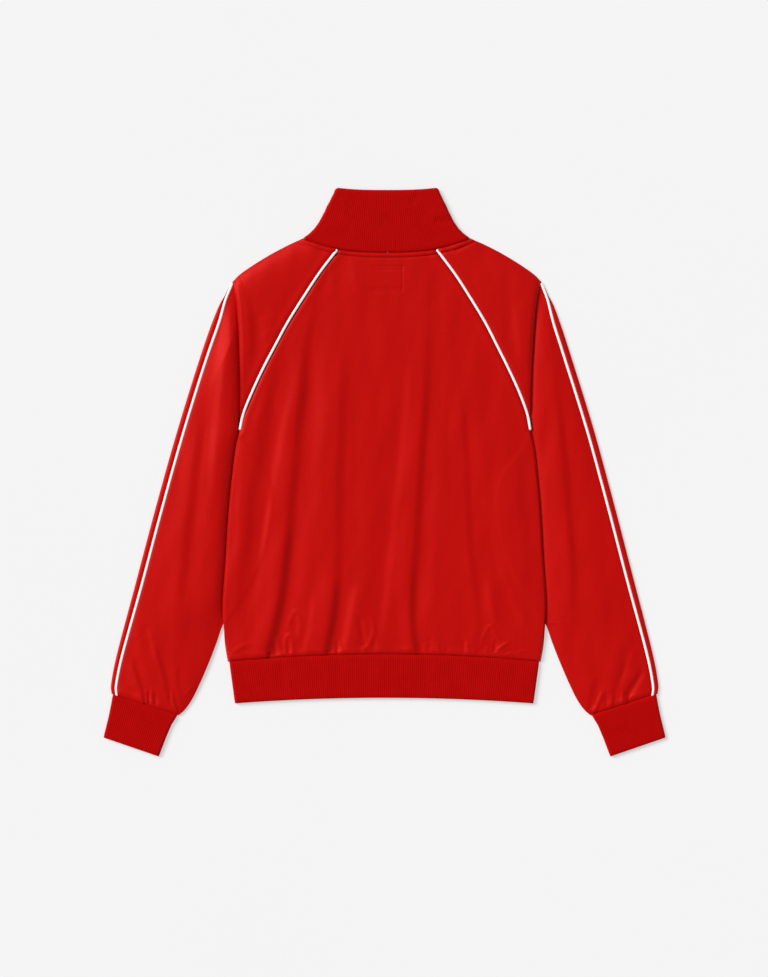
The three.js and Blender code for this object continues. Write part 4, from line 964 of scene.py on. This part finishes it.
def make_sleeve_front(side, name):
    rows = sleeve_stations(FRONT_RAGLAN)
    reach = (rows["wrap"] / WRAP_FULL)[:, None]
    wrapped = rows["wrapped"][:, None]
    last = np.linspace(0, 1, len(HOOK))[None, :] ** 6 * SEAM_GAP / 2
    inset = (1 - wrapped) * HOOK_FLAT[None, :] + wrapped * (HOOK[None, :, 0] * reach - last)
    height = wrapped * HOOK[None, :, 1]
    hook = rows["outer"][:, None, :] - rows["across"][:, None, :] * inset[..., None]
    flat_share = np.linspace(0, 1, 14, endpoint=False)[None, :, None]
    flat = rows["inner"][:, None, :] + (hook[:, :1, :] - rows["inner"][:, None, :]) * flat_share
    plan = np.concatenate([flat, hook], axis=1)
    z = np.concatenate([np.zeros(flat.shape[:2]), height], axis=1)
    outside = grid(side * plan[..., 0], plan[..., 1], z)
    normal = section_normals(plan, z, rows["across"])
    within = plan + normal[..., :1] * rows["across"][:, None, :] * SKIN
    inside = grid(side * within[..., 0], within[..., 1], z + normal[..., 1] * SKIN)
    return shell(f"cloth_sleeve_front_{name}", outside, inside)


def section_normals(plan, z, across):
    """Directions into the cloth, in each row's own plane: along 'across', and up."""
    run = np.gradient((plan * across[:, None, :]).sum(axis=-1), axis=1)
    rise = np.gradient(z, axis=1)
    long = np.maximum(np.hypot(run, rise), 1e-9)
    return np.stack([-rise / long, run / long], axis=-1)


for name, side in (("left", -1), ("right", 1)):
    sleeve = make_sleeve_back(side, name)
    wear(sleeve, f"sleeve_back_{name}", TRICOT)
    lower = make_sleeve_front(side, name)
    wear(lower, f"sleeve_front_{name}", TRICOT)
    print(name, "sleeve faces:", len(sleeve.data.polygons), len(lower.data.polygons))

# %% [markdown]
# Fronts
#
# The two fronts lie beneath and rest on the surface. They are plain there, and rise only where a
# sleeve lies under the body.

# %% Fronts
FRONT_RAGLAN_ROWS, FRONT_SIDE_ROWS, FRONT_COLUMNS = 60, 72, 44


def make_front(side, name):
    upper = np.linspace(0, 1, FRONT_RAGLAN_ROWS, endpoint=False)
    lower = np.linspace(0, 1, FRONT_SIDE_ROWS)
    place, across = walk(FRONT_RAGLAN, upper)
    place = place - across * SEAM_GAP / 2
    sides, _ = walk(BODY_SIDE, lower)
    edge = np.vstack([place, sides])
    level = HEM["seam_middle"] - HEM["seam_drop"] + SEAM_GAP
    middle_low = UNDERARM[1] + (level - UNDERARM[1]) * lower + HEM["seam_drop"] * lower**3
    middle_high = FRONT_NECK["middle"] + (UNDERARM[1] - FRONT_NECK["middle"]) * upper
    middle = np.concatenate([middle_high, middle_low])[:, None]
    bend = np.concatenate([np.full(FRONT_RAGLAN_ROWS, FRONT_NECK["power"]),
                           np.full(FRONT_SIDE_ROWS, 2.0)])[:, None]
    share = np.linspace(0, 1, FRONT_COLUMNS)[None, :]
    out = ZIP_CHANNEL + (edge[:, :1] - ZIP_CHANNEL) * share
    up = middle + (edge[:, 1:] - middle) * share**bend
    z = front_lift(out, up)
    return shell(f"cloth_front_{name}", grid(side * out, up, z + FRONT_SKIN), grid(side * out, up, z))


for name, side in (("left", -1), ("right", 1)):
    wear(make_front(side, name), f"front_{name}", TRICOT)

# %% [markdown]
# Rib bands
#
# Collar, hem band and cuffs are rib knit, folded double. Ribs are real here: the outer skin
# rises and falls once for each rib. A band that opens at the zip runs from beside it, beneath to
# one side, over the top and back beneath. Each band is one ring of cloth, flattened.

# %% Rib bands
PER_RIB = 8
TUCK_LEVEL = -0.025
BAND_LEVELS = np.concatenate([[TUCK_LEVEL], np.linspace(0, 1, 26)])
# The furrows between the ribs lie this much below the face of the band
RIB_SINK = 0.15


def band_section(half, height, open_at, ribs):
    """Places round a flattened band: across, height, direction out of the cloth, share beneath."""
    radius = height / 2
    flat = half - radius
    turn = np.linspace(0, 1, 9)[1:-1]
    under = np.linspace(open_at, flat, 26)
    over = np.linspace(-flat, flat, ribs * PER_RIB + 1)
    left = np.stack([-under, 0 * under, 0 * under, -1 + 0 * under, 1 + 0 * under])
    angle = np.pi * turn
    bend_left = np.stack([-flat - radius * np.sin(angle), radius - radius * np.cos(angle),
                          -np.sin(angle), -np.cos(angle), 1 - turn])
    top = np.stack([over, height + 0 * over, 0 * over, 1 + 0 * over, 0 * over])
    bend_right = bend_left[:, ::-1] * np.array([-1, 1, -1, 1, 1])[:, None]
    right = left[:, ::-1] * np.array([-1, 1, -1, 1, 1])[:, None]
    return np.hstack([left, bend_left, top, bend_right, right])


def rib_wave(position, pitch):
    """Rounded ribs with narrow furrows, from 0 in the furrow to 1 on the rib."""
    return np.abs(np.sin(np.pi * position / pitch)) ** 0.75


def end_roll(level, rows_mm, roll):
    """How far the cloth rolls down toward both ends of a band."""
    return roll * (np.exp(-level * rows_mm / 1.6) + np.exp(-(1 - level) * rows_mm / 1.2))


def tucked(z, low):
    """Flattens a band's end so that it slips beneath the cloth that it is sewn to."""
    return 1.0 + 0.2 * z if low else z


def make_collar():
    ribs = round(2 * COLLAR["base_half"] / RIB_PITCH)
    levels = np.linspace(0, 1, 42)
    outer, inner = [], []
    for level in levels:
        half = float(np.interp(level * 100, -COLLAR_SIDE[:, 1], COLLAR_SIDE[:, 0]))
        x, z, aside, rise, beneath = band_section(half, COLLAR_HEIGHT, ZIP_CHANNEL, ribs)
        share = np.minimum(np.abs(x) / half, 1)
        seam_out = share * COLLAR["base_half"]
        under = (beneath == 1) & (share < 0.95)
        base = np.where(under, front_neck_up(seam_out), neck_up(seam_out)) + SEAM_GAP
        back_top = COLLAR["top_middle"] + COLLAR["top_rise"] * share**3
        front_top = COLLAR["front_top"] + (back_top - COLLAR["front_top"]) * share**2
        top = back_top + (front_top - back_top) * beneath
        y = base + (top - base) * level
        lean = 1 + 0.3 * level
        ridge = RIB_DEPTH * rib_wave(x * lean + 0.5 * RIB_PITCH, RIB_PITCH) * (beneath < 0.6)
        sink = end_roll(level, 89, 1.3) * (beneath < 0.6)
        dent = creases_at(COLLAR_CREASES, x, y) * (beneath < 0.1)
        proud = ridge - sink + dent - RIB_SINK * (beneath < 0.6)
        proud = np.where(beneath > 0.6, 0, proud)
        outer.append(grid(x + aside * proud, y, z + rise * proud))
        thick = COLLAR_WALL - 0.4
        inner.append(grid(x - aside * thick, y, z - rise * thick))
    return shell("rib_collar", np.array(outer), np.array(inner))


def make_hem():
    ribs = round(2 * HEM["seam_half"] / RIB_PITCH)
    outer, inner = [], []
    for level in BAND_LEVELS:
        half = HEM["seam_half"] + (HEM["end_half"] - HEM["seam_half"]) * level
        x, z, aside, rise, beneath = band_section(half, HEM_HEIGHT, ZIP_CHANNEL, ribs)
        share = np.minimum(np.abs(x) / half, 1)
        y = hem_seam_up(share * HEM["seam_half"])
        y = y + (hem_end_up(share * HEM["end_half"]) - y) * level
        ridge = RIB_DEPTH * rib_wave(np.arange(len(x)), PER_RIB) * (beneath == 0)
        sink = end_roll(max(level, 0), 60, 1.4) * (beneath < 0.6)
        dent = creases_at(HEM_CREASES, x, y) * (beneath < 0.1)
        proud = np.where(beneath > 0.6, 0, ridge - sink + dent - RIB_SINK)
        thick = RIB_WALL - 0.3
        outer.append(grid(x + aside * proud, y, tucked(z + rise * proud, level < 0)))
        inner.append(grid(x - aside * thick, y, tucked(z - rise * thick, level < 0)))
    return shell("rib_hem", np.array(outer), np.array(inner))


def closed_section(half, height, ribs):
    """A flattened closed tube: across, height, direction out of the cloth, whether on top."""
    radius = height / 2
    flat = half - radius
    over = np.linspace(-flat, flat, ribs * PER_RIB + 1)
    angle = np.pi * np.linspace(0, 1, 9)[1:-1]
    under = np.linspace(flat, -flat, 18)
    top = np.stack([over, height + 0 * over, 0 * over, 1 + 0 * over, 1 + 0 * over])
    right = np.stack([flat + radius * np.sin(angle), radius + radius * np.cos(angle),
                      np.sin(angle), np.cos(angle), 0 * angle])
    low = np.stack([under, 0 * under, 0 * under, -1 + 0 * under, 0 * under])
    left = np.stack([-flat - radius * np.sin(angle), radius - radius * np.cos(angle),
                     -np.sin(angle), -np.cos(angle), 0 * angle])
    return np.hstack([top, right, low, left])


def make_cuff(side, name):
    ribs = round(92 / RIB_PITCH)
    outer, inner = [], []
    levels = np.linspace(0, 1, len(CUFF_INNER))
    for level in BAND_LEVELS:
        ends = [np.array([np.interp(level, levels, np.array(edge)[:, k]) for k in (0, 1)])
                + min(level, 0) * (np.array(edge[1]) - edge[0]) * (len(edge) - 1)
                for edge in (CUFF_INNER, CUFF_OUTER)]
        span = ends[1] - ends[0]
        half = np.linalg.norm(span) / 2
        across = span / (2 * half)
        x, z, aside, rise, on_top = closed_section(half, CUFF_HEIGHT, ribs)
        ridge = RIB_DEPTH * rib_wave(np.arange(len(x)), PER_RIB) * on_top
        sink = end_roll(max(level, 0), 62, 1.2) * (z > CUFF_HEIGHT / 3)
        proud = ridge - sink - RIB_SINK * on_top
        middle = (ends[0] + ends[1]) / 2

        def placed(offset, lift):
            plan = middle + (x + aside * offset)[:, None] * across
            return grid(side * plan[:, 0], plan[:, 1], tucked(z + rise * lift, level < 0))

        outer.append(placed(proud, proud))
        thick = RIB_WALL - 0.3
        inner.append(placed(-thick, -thick))
    return shell(f"rib_cuff_{name}", np.array(outer), np.array(inner), ring=True)


collar = wear(make_collar(), "collar", RIB_KNIT)
hem = wear(make_hem(), "hem_rib", RIB_KNIT)
for name, side in (("left", -1), ("right", 1)):
    wear(make_cuff(side, name), f"cuff_{name}", RIB_KNIT)
print("rib faces:", len(collar.data.polygons), len(hem.data.polygons))

# %% [markdown]
# Piping
#
# Piping is a cord wrapped in a bias strip and caught in the seam, so only its round back shows.
# Each is a tube of a flattened circle along its seam, sunk a little between the two panels.

# %% Piping
PIPING_HALF, PIPING_BESIDE = 1.8, 2.2
CROWN = {"raglan": 0.8, "sleeve": 0.75}
ROUND = np.linspace(0, 2 * np.pi, 14, endpoint=False)


def piping_tube(name, plan, across, height, half, crown):
    """A closed tube along a seam: plan places, sideways directions and heights of its middle."""
    taper = np.minimum(1, np.minimum(np.arange(len(plan)), np.arange(len(plan))[::-1]) / 2 + 0.55)
    rings = []
    for place, aside, z, size in zip(plan, across, height, taper):
        offset = half * size * np.cos(ROUND)[:, None] * aside
        rise = np.where(np.sin(ROUND) > 0, crown, 0.7) * size * np.sin(ROUND)
        rings.append(np.column_stack([place + offset, z + rise]))
    rings = np.array(rings)
    rows, columns = rings.shape[:2]
    points = in_frame(rings.reshape(-1, 3))
    index = np.arange(rows * columns).reshape(rows, columns)
    index = np.hstack([index, index[:, :1]])
    faces = np.stack([index[:-1, :-1], index[:-1, 1:], index[1:, 1:], index[1:, :-1]], axis=-1)
    faces = [list(face) for face in faces.reshape(-1, 4)]
    faces.append(list(range(columns))[::-1])
    faces.append(list(range((rows - 1) * columns, rows * columns)))
    a, b, c = points[faces[0][0]], points[faces[0][1]], points[faces[0][2]]
    outward = np.dot(np.cross(b - a, c - a), a - points[:columns].mean(axis=0))
    if outward < 0:
        faces = [face[::-1] for face in faces]
    return mesh_piece(name, points, faces)


def surface_height(piece, x, y, default):
    """Height of a cloth piece straight below a place."""
    start = Vector(in_frame((x, y, 100.0)))
    hit, place, _, _ = piece.ray_cast(start, Vector((0, 0, -1)))
    return place.z / MM if hit else default


def seam_heights(pieces, plan, across, reach):
    """Height of the higher cloth beside a seam, smoothed along it."""
    found = []
    for place, aside in zip(plan, across):
        levels = []
        for offset in (-reach, reach):
            x, y = place + aside * offset
            levels.append(max(surface_height(piece, x, y, 0.0) for piece in pieces))
        found.append(max(levels))
    kernel = np.ones(7) / 7
    padded = np.pad(np.array(found), 3, mode="edge")
    return np.convolve(padded, kernel, mode="valid")


def make_raglan_piping(side, name):
    shares = np.linspace(0.8 / length_along(RAGLAN)[-1], 1.0, 170)
    plan, across = walk(RAGLAN, shares)
    plan, across = plan * (side, 1), across * (side, 1)
    cloth = [bpy.data.objects["cloth_back"], bpy.data.objects[f"cloth_sleeve_back_{name}"]]
    height = seam_heights(cloth, plan, across, PIPING_BESIDE)
    return piping_tube(f"cord_raglan_{name}", plan, across, height, PIPING_HALF, CROWN["raglan"])


def make_sleeve_piping(side, name):
    rows = sleeve_stations(RAGLAN)
    chosen = rows["wrap"] > 0.5
    plan = (rows["outer"] - rows["across"] * rows["wrap"][:, None])[chosen] * (side, 1)
    across = rows["across"][chosen] * (side, 1)
    cloth = [bpy.data.objects[f"cloth_sleeve_front_{name}"],
             bpy.data.objects[f"cloth_sleeve_back_{name}"]]
    height = seam_heights(cloth, plan, across, PIPING_BESIDE)
    return piping_tube(f"cord_sleeve_{name}", plan, across, height, PIPING_HALF, CROWN["sleeve"])


for name, side in (("left", -1), ("right", 1)):
    wear(make_raglan_piping(side, name), f"piping_raglan_{name}", PIPING)
    wear(make_sleeve_piping(side, name), f"piping_sleeve_{name}", PIPING)

# %% [markdown]
# Zip
#
# The zip lies beneath, in the gap between the fronts. The tape and the metal pieces keep their
# solids' shapes and get their finishes. The teeth are added here: two rows of small moulded
# blocks that lock one into the next.

# %% Zip
TEETH = {"pitch": 2.6, "long": 3.0, "wide": 1.2, "high": 1.2, "first": -320.0, "last": 358.0,
         "over_middle": 0.9}
TAPE_LEVELS = [(-330, RIB_WALL), (-263, RIB_WALL), (-248, CLOTH), (0, CLOTH), (273, CLOTH),
               (287, COLLAR_WALL + 0.1), (400, COLLAR_WALL + 0.1)]


def tape_height(up):
    ups, heights = zip(*TAPE_LEVELS)
    return np.interp(up, ups, heights) + SEAM_GAP + 0.5


def make_teeth(side, name):
    corners = np.array([(x, y, z) for x in (0, 1) for y in (-0.5, 0.5) for z in (-0.5, 0.5)])
    cube = np.array([(0, 1, 3, 2), (4, 6, 7, 5), (0, 4, 5, 1), (2, 3, 7, 6), (0, 2, 6, 4), (1, 5, 7, 3)])
    ups = np.arange(TEETH["first"] + side * TEETH["pitch"] / 4, TEETH["last"], TEETH["pitch"])
    points, faces = [], []
    for number, up in enumerate(ups):
        tooth = corners * (TEETH["long"], TEETH["wide"], TEETH["high"])
        tooth[:, 0] -= TEETH["over_middle"]
        tooth = tooth * (side, 1, 1) + (0, up, float(tape_height(up)))
        points.append(tooth)
        faces.append((cube if side > 0 else cube[:, ::-1]) + 8 * number)
    return mesh_piece(f"zip_teeth_{name}", in_frame(np.vstack(points)), np.vstack(faces), smooth=False)


for name, side in (("left", -1), ("right", 1)):
    teeth = make_teeth(side, name)
    wear(teeth, None, ZIP_TAPE)
    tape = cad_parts[f"zip_tape_{name}"]
    tape.data.materials.clear()
    tape.data.materials.append(ZIP_TAPE)
for node in ("zip_slider", "zip_pull"):
    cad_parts[node].data.materials.clear()
    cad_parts[node].data.materials.append(ZIP_METAL)

# %% [markdown]
# Stitches
#
# Thread shows as short raised dashes: one row along the lower edge of the band below the collar,
# and the rows of a rectangle stitched through the back below it.
# Each stitch is a small six-sided spindle laid on the cloth, and a row is one joined mesh.

# %% Stitches
STITCH = {"long": 2.4, "gap": 0.7, "half": 0.28}


def stitch_row(name, plan, piece_names):
    run = length_along(plan)
    count = int(run[-1] / (STITCH["long"] + STITCH["gap"]))
    pieces = [bpy.data.objects[piece_name] for piece_name in piece_names]
    points, faces = [], []
    for number in range(count):
        begin = (number + 0.1) * (STITCH["long"] + STITCH["gap"])
        ends = np.array([[np.interp(at, run, plan[:, k]) for k in (0, 1)]
                         for at in (begin, begin + STITCH["long"])])
        z = [max(surface_height(piece, x, y, 0) for piece in pieces) for x, y in ends]
        heading = (ends[1] - ends[0]) / np.linalg.norm(ends[1] - ends[0])
        aside = np.array([-heading[1], heading[0]])
        rings = []
        for share, size in ((0, 0.35), (0.2, 1), (0.8, 1), (1, 0.35)):
            place = ends[0] + (ends[1] - ends[0]) * share
            height = z[0] + (z[1] - z[0]) * share - 0.12 + 0.14 * size
            angle = np.linspace(0, 2 * np.pi, 6, endpoint=False)
            ring = place + STITCH["half"] * size * np.cos(angle)[:, None] * aside
            rings.append(np.column_stack([ring, height + STITCH["half"] * size * np.sin(angle)]))
        base = number * 24
        points.append(np.vstack(rings))
        for row in range(3):
            for k in range(6):
                a, b = base + row * 6 + k, base + row * 6 + (k + 1) % 6
                faces.append((a, b, b + 6, a + 6))
        faces.append(tuple(base + k for k in range(6))[::-1])
        faces.append(tuple(base + 18 + k for k in range(6)))
    return mesh_piece(name, in_frame(np.vstack(points)), faces)


BAND_CLOTH = ["cloth_back", "cloth_sleeve_back_left", "cloth_sleeve_back_right"]
band_line = np.array([(x, neck_up(abs(x)) - BAND_WIDE + 1.0) for x in np.linspace(-104, 104, 90)])
wear(stitch_row("stitches_neck_band", band_line, BAND_CLOTH), None, TRICOT)
for name, line in patch_rows().items():
    wear(stitch_row(f"stitches_patch_{name}", np.array(line, float), ["cloth_back"]), None, TRICOT)

# %% [markdown]
# The cut of each piece
#
# The panels lie nearly flat, so the cut is the panel's own outline; a fold takes only a few
# millimetres more. The relief of the ribs adds to their surface. No area is declared larger than
# width times length.


# %% [markdown]
# Floor and light
#
# A cut-out on a pale ground: an even grey-white sky, and one broad soft lamp from the upper left
# that draws the folds. More than half of the ground's brightness is its own glow, alike all over,
# so that the shadow at the lower right stays thin.

# %% Floor and light
FLOOR_HALF = 3.0
SKY = (0.80, 0.80, 0.80, 1)
SKY_STRENGTH = 0.43
SUN_ENERGY, SUN_SPREAD = 3.25, 30.0
SUN_FROM = Vector((-0.80, 0.50, 0.80))
GROUND_GLOW = 0.505
PAPER, PAPER_DEEP = (0.40, 0.40, 0.40, 1), (0.395, 0.395, 0.395, 1)
PAPER_BELOW = 0.0002


def make_floor():
    points = np.array([(-1, -1, 0), (1, -1, 0), (1, 1, 0), (-1, 1, 0)]) * FLOOR_HALF
    floor = mesh_piece("floor", points - (0, 0, PAPER_BELOW), [(0, 1, 2, 3)], smooth=False)
    material, shader = new_material("floor_paper", 0.9, 0.0, 0.5, 0.1)
    vector = place_node(material, (1, 1, 1))
    mottle(material, shader, PAPER, PAPER_DEEP, 1.5, vector)
    shader.inputs["Emission Color"].default_value = (1, 1, 1, 1)
    shader.inputs["Emission Strength"].default_value = GROUND_GLOW
    floor.data.materials.append(material)
    return floor


def light_scene():
    world = bpy.data.worlds.new("sky")
    world.use_nodes = True
    world.node_tree.nodes["Background"].inputs["Color"].default_value = SKY
    world.node_tree.nodes["Background"].inputs["Strength"].default_value = SKY_STRENGTH
    bpy.context.scene.world = world
    data = bpy.data.lights.new("key", "SUN")
    data.energy = SUN_ENERGY
    data.angle = math.radians(SUN_SPREAD)
    sun = bpy.data.objects.new("key", data)
    sun.rotation_mode = "QUATERNION"
    sun.rotation_quaternion = SUN_FROM.to_track_quat("Z", "Y")
    bpy.context.scene.collection.objects.link(sun)
    bpy.context.scene.view_settings.view_transform = "Standard"


make_floor()
light_scene()
